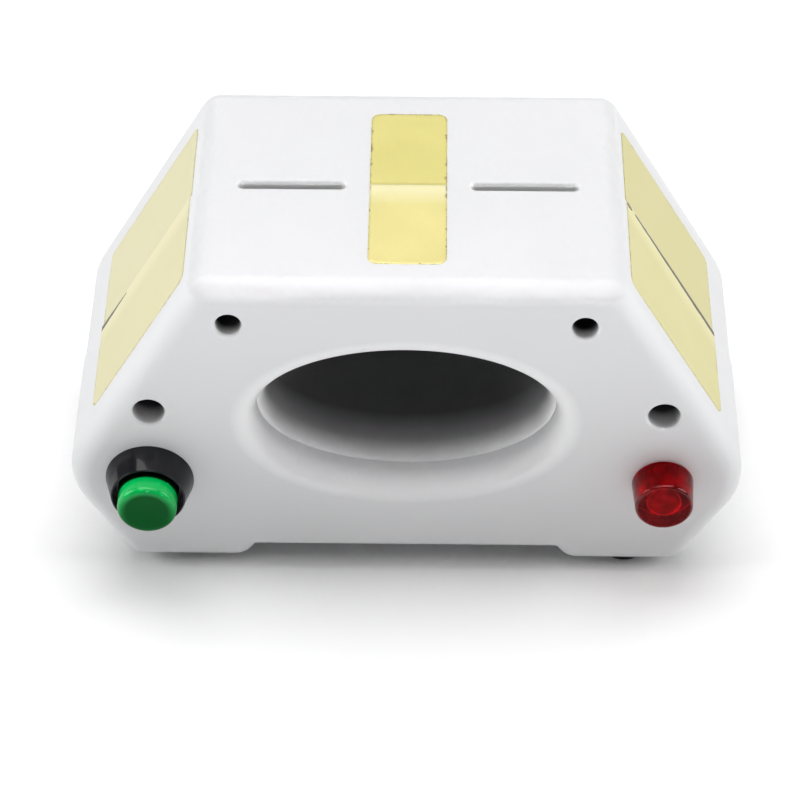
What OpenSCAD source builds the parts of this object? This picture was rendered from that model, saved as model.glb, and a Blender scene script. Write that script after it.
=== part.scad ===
// Coil demagnetizer: a two-part plastic case round an oval tunnel, with the mains coil wound on the
// tunnel's sleeve, a push button on the left and a neon lamp on the right of the front face.
// X points right, Y to the back, Z up. The origin is under the middle of the whole object.

/* [Case] */
// Overall width at the widest corners
case_w = 150; // [146:1:170]
// Height of the case without its rubber feet
case_h = 81.5; // [79:0.5:92]
// Depth of the case, front face to back face
case_d = 72; // [70:1:90]
// How far the middle of each top corner's rounding is in from the widest point
top_in = 32; // [30:0.5:35]
// How far the middle of each foot corner's rounding is in from the widest point
base_in = 15.5; // [14:0.5:18]
// Height of the middle of the widest corners
waist_h = 25.9; // [23:0.1:29]
// Radius of the widest corners
wide_r = 17; // [12:0.5:20]
// Radius of the corners at the top and at the underside
corner_r = 5; // [4.9:0.05:6]
// Rounding of the front and back edges
edge_r = 4.8; // [3:0.1:4.8]
// Wall thickness of both shells
wall = 2.5; // [1.8:0.1:3]
// How far the rear shell sits inside the front shell's outline
rear_step = 0.3; // [0.1:0.05:0.5]

/* [Recess and feet] */
// Height of the recess between the two foot bars
recess_h = 3.4; // [2:0.1:5]
// Width of a foot bar, from the middle of its outer rounding to the recess
bar_w = 23.2; // [22.5:0.1:29]
// Slope of the recess sides in degrees
recess_slope = 55; // [45:1:70]
// Diameter of a rubber foot
foot_d = 10; // [8:0.5:12]
// How far a rubber foot stands out below the case
foot_proud = 2; // [1:0.1:3]
// Depth of the pocket that holds a rubber foot
foot_pocket = 1; // [0.5:0.1:1.3]
// How far the rubber feet are in from the middle of the bar's outer rounding
foot_in = 9.5; // [7:0.5:13]
// Distance of the rubber feet from the parting line
foot_y = 27.5; // [20:0.5:28]
// How much nearer the parting line the left front foot sits
left_foot_back = 1.5; // [0:0.5:3]

/* [Tunnel] */
// Width of the tunnel mouth behind its lip
mouth_w = 66.6; // [60:0.2:70]
// Height of the tunnel mouth behind its lip
mouth_h = 37.2; // [33:0.2:40]
// Height of the tunnel's axis above the case's mid-height
tunnel_rise = 2.45; // [0:0.05:4.5]
// Radius of the rounded lip
lip_r = 5.5; // [3:0.25:7]
// Wall of the mouth behind the face
mouth_wall = 2.2; // [1.6:0.1:3]
// Depth of the mouth, from the face to the coil former
mouth_depth = 10.5; // [9.5:0.25:13]
// Depth from the face to the edge of the sleeve
sleeve_depth = 7.5; // [6:0.25:9]
// Wall of the sleeve
sleeve_wall = 2; // [1.4:0.1:2.5]
// Gap between the sleeve and the mouth round it
sleeve_gap = 0.3; // [0.2:0.05:0.5]

/* [Coil] */
// Thickness of the former's two end flanges
flange_t = 2; // [1.5:0.1:3]
// How far the flanges stand out from the sleeve
flange_rise = 9.5; // [8.8:0.1:10.5]
// Thickness of the winding
winding_t = 7; // [5:0.1:7.4]
// Thickness of the insulating tape round the winding
tape_t = 0.5; // [0.3:0.1:0.8]
// Gap between curved layers of the coil
layer_gap = 0.3; // [0.2:0.05:0.4]

/* [Screws] */
// How far the upper screws are in from the middle of the top corner's rounding
upper_in = 4.8; // [3:0.1:7]
// How far the upper screws are below the top
upper_drop = 10.2; // [9.5:0.1:11.5]
// Diameter of the upper access holes
upper_hole_d = 5.6; // [5.2:0.1:6]
// How far the lower screws are in from the widest point
lower_in = 18.5; // [18:0.1:20]
// How far the lower screws are above the middle of the widest corners
lower_rise = 20; // [18.5:0.1:20.5]
// Diameter of the lower access holes
lower_hole_d = 7.1; // [6.8:0.1:7.4]
// Depth of the access holes to the screw seats
screw_depth = 27; // [22:0.5:29]
// Diameter of the upper screws' shanks
upper_screw_d = 3; // [2.5:0.1:3.2]
// Diameter of the lower screws' shanks
lower_screw_d = 3.5; // [3:0.1:4]
// Length of the screw shanks under the head
screw_l = 16; // [12:0.5:20]

/* [Slots] */
// Length of each slot in the top
slot_l = 23.7; // [18:0.1:26]
// Width of each slot in the top
slot_w = 2.6; // [2:0.1:3.5]
// How far the slot's middle is in from the middle of the top corner's rounding
slot_in = 17.3; // [16:0.1:19]

/* [Button] */
// How far the push button's axis is in from the widest point
button_in = 17.8; // [17.5:0.1:18.5]
// Height of the push button's axis
button_z = 26; // [24.5:0.1:27]
// Diameter of the bezel at the face
bezel_base_d = 19.7; // [18.5:0.1:21]
// Diameter of the bezel's rim
bezel_rim_d = 16.6; // [15.8:0.1:17.5]
// Height of the bezel
bezel_h = 6.2; // [5.5:0.1:6.5]
// Wall of the bezel's rim round its well
bezel_rim_t = 0.5; // [0.4:0.1:1]
// Depth of the well round the button cap
bezel_well = 3; // [2:0.5:3.5]
// Diameter of the threaded barrel
barrel_d = 15.6; // [15.4:0.1:15.8]
// Length of the barrel behind the face
barrel_l = 18; // [17.5:0.5:20]
// Diameter of the button cap
cap_d = 13.2; // [12.8:0.1:13.3]
// How far the cap stands out from the face
cap_proud = 10.8; // [10.3:0.1:12]
// Length of the cap
cap_l = 9.5; // [8.5:0.1:9.8]
// Press travel of the button
travel = 3; // [2:0.1:3.3]
// Diameter of the stem
stem_d = 5; // [4:0.1:5.2]
// Outer diameter of the return spring
spring_d = 8.6; // [8:0.1:9]
// Wire diameter of the return spring
spring_wire = 0.7; // [0.5:0.05:0.8]
// Turns of the return spring
spring_turns = 6; // [4:1:7]

/* [Lamp] */
// How far the lamp's axis is in from the widest point
lamp_in = 17.8; // [17:0.1:19]
// Height of the lamp's axis
lamp_z = 26; // [24.5:0.1:27]
// Diameter of the lens at the face
lens_base_d = 13.8; // [13:0.1:15]
// Diameter of the lens at its front
lens_front_d = 12.9; // [12:0.1:13]
// How far the lens stands out from the face
lens_proud = 8; // [6.5:0.1:9]
// Diameter of the lens's spigot in the panel
spigot_d = 11.4; // [11:0.1:12]
// Length of the lens's spigot behind the face
spigot_l = 12; // [11:0.1:13]
// Bore of the lens
lens_bore_d = 8; // [7.6:0.1:8.5]
// Diameter of the neon bulb
bulb_d = 5.6; // [5:0.1:6]

/* [Labels] */
// Width of the foil label on top
top_label_w = 17; // [14:0.5:19]
// Length of the foil label on top, in front of the parting line
top_label_front = 27.2; // [20:0.2:29]
// Length of the foil label on top, behind the parting line
top_label_back = 25.9; // [20:0.2:29]
// Distance of the side labels from the top of the slope's flat
side_label_drop = 1.5; // [1:0.1:3]
// Distance of the side labels from the bottom of the slope's flat
side_label_rise = 5.9; // [3:0.1:15]
// Length of the side labels in front of the parting line
side_label_front = 28; // [20:0.5:29]
// Length of the side labels behind the parting line
side_label_back = 26; // [20:0.5:29]
// Thickness of the labels
label_t = 0.15; // [0.1:0.05:0.3]
// Corner radius of the labels
label_r = 2.2; // [1:0.1:4]

/* [Cord inlet] */
// How far the cord gland's axis is in from the widest point
gland_in = 17.8; // [16:0.1:20]
// Height of the cord gland's axis
gland_z = 26; // [24:0.1:28]
// Bore of the cord gland
gland_bore_d = 6.2; // [5:0.1:7]
// Diameter of the gland's neck in the panel
gland_neck_d = 9.6; // [9:0.1:10.5]
// Diameter of the gland's outer flange
gland_flange_d = 13; // [12:0.1:15]
// How far the gland stands out from the back
gland_proud = 3.5; // [2:0.1:5]

/* [Terminal block] */
// How far the block's middle is in from the widest point
block_in = 25; // [24:0.5:26]
// Distance of the block's middle behind the parting line
block_y = 14; // [13:0.5:15]
// Width of the block
block_w = 16.5; // [16:0.1:18]
// Length of the block
block_l = 17; // [15:0.5:18]
// Height of the block
block_h = 10; // [9.5:0.1:11]
// Distance between the two ways
way_pitch = 8.6; // [8.4:0.1:9]
// Height of the pad under the block
pad_h = 3; // [2.5:0.1:4]
// Diameter of the pad under the block
pad_d = 8; // [6:0.5:10]
// Diameter of the inside wires
wire_d = 1.6; // [1.2:0.1:1.7]

/* [Hidden] */

$fn = 64;
hull_fn = 32;
oval_n = 48;
lip_steps = 6;
corner_steps = 6;
edge_steps = 6;
least_r = 0.05;
over = 0.5;

// Colours
shell_white = [0.93, 0.93, 0.94];
foil_gold = [0.90, 0.86, 0.58];
rubber_black = [0.08, 0.08, 0.09];
steel = [0.72, 0.73, 0.75];
brass = [0.80, 0.66, 0.30];
copper = [0.72, 0.38, 0.20];
nylon = [0.88, 0.87, 0.82];

// Places along the depth, counted from the parting line
front_y = -case_d / 2;
seam_y = (cap_proud - gland_proud) / 2;

// Outline corners of the case, as [x, z, radius]
foot_corner = [case_w / 2 - base_in, corner_r, corner_r];
wide_corner = [case_w / 2 - wide_r, waist_h, wide_r];
top_corner = [case_w / 2 - top_in, case_h - corner_r, corner_r];

// Directions that the slope and the flank below it face, and the top of the slope's flat
slope_n = tangent_dir(top_corner, wide_corner);
flank_n = tangent_dir(wide_corner, foot_corner);
slope_top_x = top_corner[0] + corner_r * cos(slope_n);
slope_top_z = top_corner[1] + corner_r * sin(slope_n);
slope_x = wide_corner[0] + wide_r * cos(slope_n) - slope_top_x;
slope_z = wide_corner[1] + wide_r * sin(slope_n) - slope_top_z;
slope_l = norm([slope_x, slope_z]);

// Places across the width and in height
recess_x = foot_corner[0] - bar_w;
foot_x = foot_corner[0] - foot_in;
foot_places = [[-foot_x, left_foot_back - foot_y], [foot_x, -foot_y], [-foot_x, foot_y], [foot_x, foot_y]];
tunnel_z = case_h / 2 + tunnel_rise;
upper_x = top_corner[0] - upper_in;
upper_z = case_h - upper_drop;
lower_x = case_w / 2 - lower_in;
lower_z = waist_h + lower_rise;
slot_x = top_corner[0] - slot_in;
button_x = case_w / 2 - button_in;
lamp_x = case_w / 2 - lamp_in;
gland_x = case_w / 2 - gland_in;
block_x = case_w / 2 - block_in;

// Joint between the shells
tongue_t = 1.05;
tongue_h = 1.5;
tongue_gap = 0.15;

// Coil former
mouth_end = case_d / 2 - mouth_depth;
sleeve_out = -sleeve_gap;
sleeve_in = sleeve_out - sleeve_wall;
winding_in = sleeve_out + layer_gap;
winding_out = winding_in + winding_t;
tape_in = winding_out + layer_gap;
winding_end = mouth_end - flange_t - layer_gap;
lead_x = mouth_w / 2 + sleeve_out + flange_rise / 2;

// Screws
socket_wall = 1.8;
seat_t = 2.5;
socket_l = screw_depth + seat_t;
screw_gap = 0.05;
shank_play = 0.3;
head_h = 2.4;
head_play = 0.3;

// Push button, as depths behind the face
cap_back = cap_l - cap_proud;
cap_skin = 3;
cap_bore_end = cap_back + travel + 0.5;
web_t = 3;
web_end = cap_bore_end + web_t;
bridge_top = web_end + 0.1;
bridge_t = 0.8;
bridge_d = 11;
neck_d = 2.9;
rivet_d = 4.6;
rivet_t = 0.8;
contact_z = bridge_top + bridge_t + travel + 0.05;
chamber_d = 12.6;
base_t = 3;
base_z = barrel_l - base_t;
tab_proud = 7;
tab_end = barrel_l + tab_proud;
tab_x = 3.5;
tab_w = 4;
tab_t = 0.8;
post_w = 2;
nut_across = 19;
nut_t = 3.5;
thread_pitch = 1;
thread_depth = 0.35;

// Lamp, as depths behind the face
lens_skin = 1.6;
bulb_front = -lens_proud + lens_skin + 1.4;
cup_depth = 1.5;
plug_l = 6;
socket_front = spigot_l - plug_l;
socket_flange_t = 2;
socket_back = spigot_l + socket_flange_t;
lamp_lead = 2;
lamp_nut_d = 17;
lamp_nut_t = 3;

// Terminal block, as heights above the underside
block_z = wall + pad_h;
way_z = block_z + 5;
insert_d = 4.6;
insert_bore = 3.6;
insert_l = block_l - 2;
clamp_d = 2.4;
clamp_y = insert_l / 2 - 3.5;
clamp_top = block_h - 0.8;
block_screw_d = 2.2;
block_screw_l = 4;
block_screw_seat = 4;
block_head_d = 3.6;
block_head_h = 1.6;
block_head_gap = 0.2;
pilot_floor = 0.8;

// Cord gland
gland_inner_t = 2;
gland_inner_d = 12;

// Inside wires: the ends follow what they join, and the points between are laid by hand
wire_step = wire_d / 2 + 0.2;
tab_y = front_y + tab_end;
left_tab = [-button_x - tab_x, tab_y, button_z];
right_tab = [-button_x + tab_x, tab_y, button_z];
way_end_y = block_y - insert_l / 2 + 2;
live_way = [block_x - way_pitch / 2, way_end_y, way_z];
neutral_way = [block_x + way_pitch / 2, way_end_y, way_z];
lamp_back_y = front_y + socket_back;
floor_z = recess_h + wall + 3.2;
lift = [0, 0, wire_step];
back = [0, 6, 0];

shoulder_x = recess_x + 3.7;

switch_route = [right_tab, right_tab + back, right_tab + [3.7, 11, -9],
                [-shoulder_x, 2, floor_z + 1], [-20, 2, floor_z], [0, 2, floor_z], [20, 2, floor_z],
                [shoulder_x - 2, -1, floor_z + 0.5], live_way - [0.4, 7, 0], live_way - [0, 3, 0],
                live_way];
coil_start = [-lead_x, -winding_end, tunnel_z];
coil_finish = [lead_x, -winding_end, tunnel_z];
coil_start_route = [coil_start, coil_start - [0, 4.6, 0], coil_start + [-6.7, -4.8, -5.2],
                    coil_start + [-8.7, 3.2, -9.2], left_tab + [10.7, 3, 5],
                    left_tab + [3.7, 8, 3.5], left_tab + lift + back, left_tab + lift];
coil_finish_route = [coil_finish, coil_finish - [0, 4.6, 0], coil_finish + [6.7, -4.8, -6.2],
                     coil_finish + [8.4, 3.2, -16.2], neutral_way + [-6.3, -16.5, 7.5],
                     neutral_way + lift - [1, 6, -1], neutral_way + lift - [0, 3, 0],
                     neutral_way + lift];
lamp_right = [lamp_x + lamp_lead, lamp_back_y, lamp_z];
lamp_left = [lamp_x - lamp_lead, lamp_back_y, lamp_z];
lamp_neutral_route = [lamp_right, lamp_right + [0, 4, -0.5], neutral_way + [3.2, -17.5, 4.5],
                      neutral_way - lift - [-0.5, 6, -1], neutral_way - lift - [0, 3, 0],
                      neutral_way - lift];
resistor_y = -7;
resistor_in = 12.3;
resistor_x = recess_x - resistor_in;
resistor_l = 9;
resistor_d = 3.2;
resistor_lead = 4;
resistor_end = resistor_l / 2 + resistor_lead;
lamp_feed_route = [lamp_left, lamp_left + [0, 4, -0.5], lamp_left + [-5.2, 9, -10],
                   [shoulder_x, -8, floor_z + 0.8],
                   [resistor_x + resistor_end + 3, resistor_y, floor_z],
                   [resistor_x + resistor_end, resistor_y, floor_z]];
lamp_return_route = [[resistor_x - resistor_end, resistor_y, floor_z],
                     [resistor_x - resistor_end - 3, resistor_y, floor_z], [0, -7, floor_z],
                     [-20, -7, floor_z], [-shoulder_x, -7, floor_z + 0.5], left_tab + [8.7, 5, -12],
                     left_tab - lift + back - [0, 0, 2], left_tab - lift + back / 2,
                     left_tab - lift];

// Vector helpers
function unit(v) = v / norm(v);
function side_of(t) = unit(cross(t, [0, 0, 1]));

// Direction that the straight side between two rounded corners faces
function tangent_dir(a, b) =
    let (d = [b[0] - a[0], b[1] - a[1]])
    atan2(d[1], d[0]) + acos((a[2] - b[2]) / norm(d));

// Points of the case's outline, grown outwards by a distance
function corner_arc(c, from, to, grow) = [
    for (i = [0:corner_steps])
        let (a = from + (to - from) * i / corner_steps, r = max(c[2] + grow, least_r))
        [c[0] + r * cos(a), c[1] + r * sin(a)]
];
function outline(grow) =
    let (wide_low = corner_arc(wide_corner, flank_n, 0, grow),
         wide_high = corner_arc(wide_corner, 0, slope_n, grow),
         right = concat(corner_arc(foot_corner, -90, flank_n, grow), wide_low,
                        [for (i = [1:corner_steps]) wide_high[i]],
                        corner_arc(top_corner, slope_n, 90, grow)))
    concat(right, [for (i = [len(right) - 1:-1:0]) [-right[i][0], right[i][1]]]);

// Points of an oval round the tunnel's axis, grown outwards by a distance
function oval(grow) = [
    for (i = [0:oval_n - 1])
        let (a = 360 * i / oval_n, w = mouth_w / 2, h = mouth_h / 2,
             n = unit([h * cos(a), w * sin(a)]))
        [w * cos(a) + grow * n[0], h * sin(a) + grow * n[1]]
];

// A point on a smooth curve through four points, between the middle two
function curve_at(p, t) =
    0.5 * (2 * p[1] + (p[2] - p[0]) * t
           + (2 * p[0] - 5 * p[1] + 4 * p[2] - p[3]) * t * t
           + (3 * p[1] - p[0] - 3 * p[2] + p[3]) * t * t * t);
function smooth_path(pts, steps) =
    let (m = len(pts) - 1, ends = concat([2 * pts[0] - pts[1]], pts, [2 * pts[m] - pts[m - 1]]))
    concat([for (i = [0:m - 1]) for (j = [0:steps - 1])
                curve_at([for (k = [0:3]) ends[i + k]], j / steps)],
           [pts[m]]);
function path_dir(path, i) =
    let (m = len(path) - 1)
    unit(i == 0 ? path[1] - path[0]
         : i == m ? path[m] - path[m - 1]
         : path[i + 1] - path[i - 1]);

// A closed skin over equal rings of points, listed from one end to the other
module skin(rings) {
    n = len(rings[0]);
    m = len(rings);
    side = [for (j = [0:m - 2]) for (i = [0:n - 1])
                for (f = [[j * n + i, j * n + (i + 1) % n, (j + 1) * n + i],
                          [j * n + (i + 1) % n, (j + 1) * n + (i + 1) % n, (j + 1) * n + i]]) f];
    first = [for (i = [0:n - 1]) n - 1 - i];
    last = [for (i = [0:n - 1]) (m - 1) * n + i];
    polyhedron(points = [for (r = rings) for (p = r) p], faces = concat([first], side, [last]));
}

// A round tube along a path
module swept(path, d, sides) {
    skin([
        for (i = [0:len(path) - 1])
            let (t = path_dir(path, i), u = side_of(t), v = cross(u, t))
            [for (k = [0:sides - 1])
                path[i] + d / 2 * (cos(-360 * k / sides) * u + sin(-360 * k / sides) * v)]
    ]);
}

module wire(route) {
    swept(smooth_path(route, 3), wire_d, 8);
}

// Moves a piece from the case's own frame to the object's frame
module placed() {
    translate([0, seam_y, foot_proud]) children();
}

// Turns local +Z to point into the case, from a point on the front or back face
module into_front(x, z) {
    translate([x, front_y, z]) rotate([-90, 0, 0]) children();
}

module into_back(x, z) {
    translate([x, -front_y, z]) rotate([90, 0, 0]) children();
}

// Front half of the case's form with its rounded front edge, drawn in by an inset
module half_form(inset, reach, end_y) {
    edge = [for (j = [0:edge_steps])
                let (a = 90 * j / edge_steps, r = edge_r - inset)
                [edge_r - reach - r * cos(a), r * sin(a) - edge_r]];
    skin([for (s = concat(edge, [[end_y, -inset]])) [for (p = outline(s[1])) [p[0], s[0], p[1]]]]);
}

// Straight slice of the outline
module outline_slice(inset, from_y, to_y) {
    translate([0, to_y, 0])
        rotate([90, 0, 0])
            linear_extrude(to_y - from_y) polygon(outline(-inset));
}

// Oval prism round the tunnel's axis
module oval_prism(grow, from_y, to_y) {
    translate([0, to_y, tunnel_z])
        rotate([90, 0, 0])
            linear_extrude(to_y - from_y) polygon(oval(grow));
}

module oval_ring(inner, outer, from_y, to_y) {
    difference() {
        oval_prism(outer, from_y, to_y);
        oval_prism(inner, from_y - over, to_y + over);
    }
}

// Space of the tunnel mouth with its rounded lip
module mouth_space() {
    lip = [for (j = [0:lip_steps])
               let (a = 90 * j / lip_steps)
               [front_y + lip_r * (1 - cos(a)), lip_r * (1 - sin(a))]];
    stations = concat([[front_y - over, lip_r]], lip, [[-mouth_end + over, 0]]);
    skin([for (s = stations) [for (p = oval(s[1])) [p[0], s[0], tunnel_z + p[1]]]]);
}

// Recess between the foot bars, with rounded inner foot corners
module recess_space(from_y, to_y) {
    turn = corner_r * tan(recess_slope / 2);
    corner = recess_x;
    top = corner - recess_h / tan(recess_slope);
    bend = [for (a = [0:recess_slope / 6:recess_slope + 0.001])
                [corner + turn - corner_r * sin(a), corner_r * (1 - cos(a))]];
    half = concat([[corner + turn, -over]], [for (p = bend) if (p[1] < recess_h) p], [[top, recess_h]]);
    other = [for (i = [len(half) - 1:-1:0]) [-half[i][0], half[i][1]]];
    translate([0, to_y, 0])
        rotate([90, 0, 0])
            linear_extrude(to_y - from_y) polygon(concat(half, other));
}

// Wall over the recess
module recess_wall() {
    side = wall / sin(recess_slope);
    low = wall / 2;
    high = recess_h + wall;
    low_x = recess_x + side - low / tan(recess_slope);
    high_x = recess_x + side - high / tan(recess_slope);
    rotate([90, 0, 0])
        linear_extrude(case_d / 2 - wall * 0.8)
            polygon([[-low_x, low], [low_x, low], [high_x, high], [-high_x, high]]);
}

// One slot cut across the parting line
module slot_space(x) {
    for (end = [-1, 1])
        translate([x + end * (slot_l - slot_w) / 2, 0, case_h - 2 * wall])
            cylinder(d = slot_w, h = 3 * wall);
    translate([x - (slot_l - slot_w) / 2, -slot_w / 2, case_h - 2 * wall])
        cube([slot_l - slot_w, slot_w, 3 * wall]);
}

module foot_pockets() {
    for (place = foot_places)
        translate([place[0], place[1], -over]) cylinder(d = foot_d + 0.2, h = foot_pocket + over);
}

// Deep socket that an access hole runs down to its screw seat
module screw_socket(x, z, hole_d) {
    into_front(x, z)
        translate([0, 0, wall / 2]) cylinder(d = hole_d + 2 * socket_wall, h = socket_l - wall / 2);
}

module screw_bores(x, z, hole_d, screw_d) {
    into_front(x, z) {
        translate([0, 0, -over]) cylinder(d = hole_d, h = screw_depth + over);
        cylinder(d = screw_d + shank_play, h = socket_l + over);
    }
}

// Boss on the rear shell that takes a screw
module screw_boss(x, z, hole_d) {
    translate([x, front_y + socket_l, z])
        rotate([-90, 0, 0])
            cylinder(d = hole_d + 2 * socket_wall, h = case_d - socket_l - wall / 2);
}

module screw_pilot(x, z, screw_d) {
    translate([x, front_y + socket_l - over, z])
        rotate([-90, 0, 0])
            cylinder(d = screw_d + 2 * screw_gap, h = screw_l + 2 * over);
}

module front_shell() {
    color(shell_white) placed() difference() {
        union() {
            difference() {
                half_form(0, case_d / 2, 0);
                half_form(wall, case_d / 2, over);
                outline_slice(wall - tongue_t - tongue_gap, -tongue_h - tongue_gap, over);
            }
            oval_prism(mouth_wall, front_y + wall / 2, -mouth_end);
            recess_wall();
            for (side = [-1, 1]) {
                screw_socket(side * upper_x, upper_z, upper_hole_d);
                screw_socket(side * lower_x, lower_z, lower_hole_d);
            }
        }
        mouth_space();
        recess_space(front_y - over, over);
        for (side = [-1, 1]) {
            screw_bores(side * upper_x, upper_z, upper_hole_d, upper_screw_d);
            screw_bores(side * lower_x, lower_z, lower_hole_d, lower_screw_d);
            slot_space(side * slot_x);
        }
        into_front(-button_x, button_z)
            translate([0, 0, -over]) cylinder(d = barrel_d + 0.4, h = wall + 2 * over);
        into_front(lamp_x, lamp_z)
            translate([0, 0, -over]) cylinder(d = spigot_d + 0.4, h = wall + 2 * over);
        foot_pockets();
    }
}

module rear_shell() {
    block_pad = [block_x, block_y, wall / 2];
    color(shell_white) placed() difference() {
        union() {
            difference() {
                mirror([0, 1, 0]) half_form(rear_step, case_d / 2 + rear_step, 0);
                mirror([0, 1, 0]) half_form(wall + rear_step, case_d / 2 + rear_step, over);
            }
            difference() {
                outline_slice(wall - tongue_t, -tongue_h, wall);
                outline_slice(wall + rear_step, -tongue_h - over, wall + over);
                translate([-recess_x - 2 * wall, -case_d, -over])
                    cube([2 * recess_x + 4 * wall, 2 * case_d, 4 * wall]);
            }
            mirror([0, 1, 0]) oval_prism(mouth_wall, front_y + wall / 2, -mouth_end);
            mirror([0, 1, 0]) recess_wall();
            for (side = [-1, 1]) {
                screw_boss(side * upper_x, upper_z, upper_hole_d);
                screw_boss(side * lower_x, lower_z, lower_hole_d);
            }
            translate(block_pad) cylinder(d = pad_d, h = block_z - wall / 2);
        }
        mirror([0, 1, 0]) mouth_space();
        recess_space(-over, case_d / 2 + over);
        for (side = [-1, 1]) {
            screw_pilot(side * upper_x, upper_z, upper_screw_d);
            screw_pilot(side * lower_x, lower_z, lower_screw_d);
            slot_space(side * slot_x);
        }
        into_back(gland_x, gland_z)
            translate([0, 0, -over]) cylinder(d = gland_neck_d + 0.1, h = wall + 2 * over);
        translate([block_x, block_y, pilot_floor])
            cylinder(d = block_screw_d + 2 * screw_gap, h = block_z);
        foot_pockets();
    }
}

module rubber_feet() {
    color(rubber_black) placed()
        for (place = foot_places)
            translate([place[0], place[1], -foot_proud]) {
                cylinder(d1 = foot_d - 1, d2 = foot_d, h = 0.5);
                translate([0, 0, 0.5]) cylinder(d = foot_d, h = foot_proud + foot_pocket - 0.5);
            }
}

// Pan head screw with a cross recess, its seat at z = 0 and its shank along +Z
module pan_screw(head_d, shank_d, l, head) {
    difference() {
        union() {
            translate([0, 0, -head * 0.6]) cylinder(d = head_d, h = head * 0.6);
            translate([0, 0, -head]) cylinder(d1 = head_d * 0.7, d2 = head_d, h = head * 0.4);
            cylinder(d = shank_d, h = l - shank_d / 2);
            translate([0, 0, l - shank_d / 2]) cylinder(d1 = shank_d, d2 = shank_d * 0.4, h = shank_d / 2);
        }
        for (turn = [0, 90])
            rotate(turn)
                translate([-head_d * 0.3, -head_d * 0.07, -head - over])
                    cube([head_d * 0.6, head_d * 0.14, over + head * 0.55]);
    }
}

module case_screws(x, z, hole_d, screw_d) {
    color(steel) placed()
        for (side = [-1, 1])
            into_front(side * x, z)
                translate([0, 0, screw_depth]) pan_screw(hole_d - head_play, screw_d, screw_l, head_h);
}

module coil_former() {
    color(nylon) placed() difference() {
        union() {
            oval_ring(sleeve_in, sleeve_out, front_y + sleeve_depth, -front_y - sleeve_depth);
            for (side = [0, 1])
                mirror([0, side, 0])
                    oval_ring(sleeve_out - sleeve_wall / 2, sleeve_out + flange_rise,
                              -mouth_end, -mouth_end + flange_t);
        }
        for (x = [-lead_x, lead_x])
            translate([x, -mouth_end - over, tunnel_z])
                rotate([-90, 0, 0]) cylinder(d = wire_d + 0.6, h = flange_t + 2 * over);
    }
}

module coil_winding() {
    color(copper) placed() oval_ring(winding_in, winding_out, -winding_end, winding_end);
}

module coil_tape() {
    tape_end = winding_end - layer_gap;
    color("goldenrod") placed() oval_ring(tape_in, tape_in + tape_t, -tape_end, tape_end);
}

// Foil label that follows the small step at the parting line, in a frame whose Z is the face's normal
module label(from_x, to_x, front, behind) {
    module outline_part(from_y, to_y) {
        linear_extrude(label_t)
            intersection() {
                hull()
                    for (x = [from_x + label_r, to_x - label_r], y = [label_r - front, behind - label_r])
                        translate([x, y]) circle(label_r, $fn = hull_fn);
                translate([from_x, from_y]) square([to_x - from_x, to_y - from_y]);
            }
    }
    outline_part(-front, 0);
    translate([0, 0, -rear_step]) outline_part(0, behind);
    translate([from_x, 0, -rear_step]) cube([to_x - from_x, label_t, rear_step + label_t]);
}

module top_label() {
    color(foil_gold) placed()
        translate([0, 0, case_h])
            label(-top_label_w / 2, top_label_w / 2, top_label_front, top_label_back);
}

module side_label() {
    color(foil_gold) placed()
        translate([slope_top_x, 0, slope_top_z])
            rotate([0, 90 - slope_n, 0])
                label(side_label_drop, slope_l - side_label_rise, side_label_front, side_label_back);
}

module left_label() {
    mirror([1, 0, 0]) side_label();
}

module right_label() {
    side_label();
}

module at_button() {
    placed() into_front(-button_x, button_z) children();
}

module button_cap() {
    round_h = 1;
    color([0.05, 0.55, 0.22]) at_button() difference() {
        union() {
            translate([0, 0, round_h - cap_proud]) cylinder(d = cap_d, h = cap_l - round_h);
            translate([0, 0, -cap_proud]) cylinder(d1 = cap_d - 1.6, d2 = cap_d, h = round_h);
        }
        translate([0, 0, cap_skin - cap_proud]) cylinder(d = cap_d - 3, h = cap_l);
        translate([0, 0, cap_skin / 2 - cap_proud]) cylinder(d = neck_d + 2 * screw_gap, h = cap_l);
    }
}

module button_stem() {
    shoulder = cap_skin - cap_proud;
    color(nylon) at_button() {
        translate([0, 0, shoulder - 1.4]) cylinder(d = neck_d, h = 1.4);
        translate([0, 0, shoulder]) cylinder(d = stem_d, h = bridge_top - shoulder);
        translate([0, 0, bridge_top]) cylinder(d = neck_d, h = bridge_t + screw_gap);
        translate([0, 0, bridge_top + bridge_t + screw_gap]) cylinder(d = rivet_d, h = rivet_t);
    }
}

module contact_bridge() {
    color(brass) at_button() translate([0, 0, bridge_top]) difference() {
        cylinder(d = bridge_d, h = bridge_t);
        translate([0, 0, -over]) cylinder(d = neck_d + 2 * screw_gap, h = bridge_t + 2 * over);
    }
}

module return_spring() {
    low = cap_skin - cap_proud + spring_wire / 2 + 0.1;
    high = cap_bore_end - spring_wire / 2 - 0.1;
    r = (spring_d - spring_wire) / 2;
    steps = 8 * spring_turns;
    pitch = (high - low) / spring_turns;
    path = [for (i = [0:steps])
                [r * cos(45 * i), r * sin(45 * i), low + (high - low) * i / steps]];
    echo(least_spring_gap = pitch - spring_wire);
    color(steel) at_button() swept(path, spring_wire, 6);
}

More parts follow.
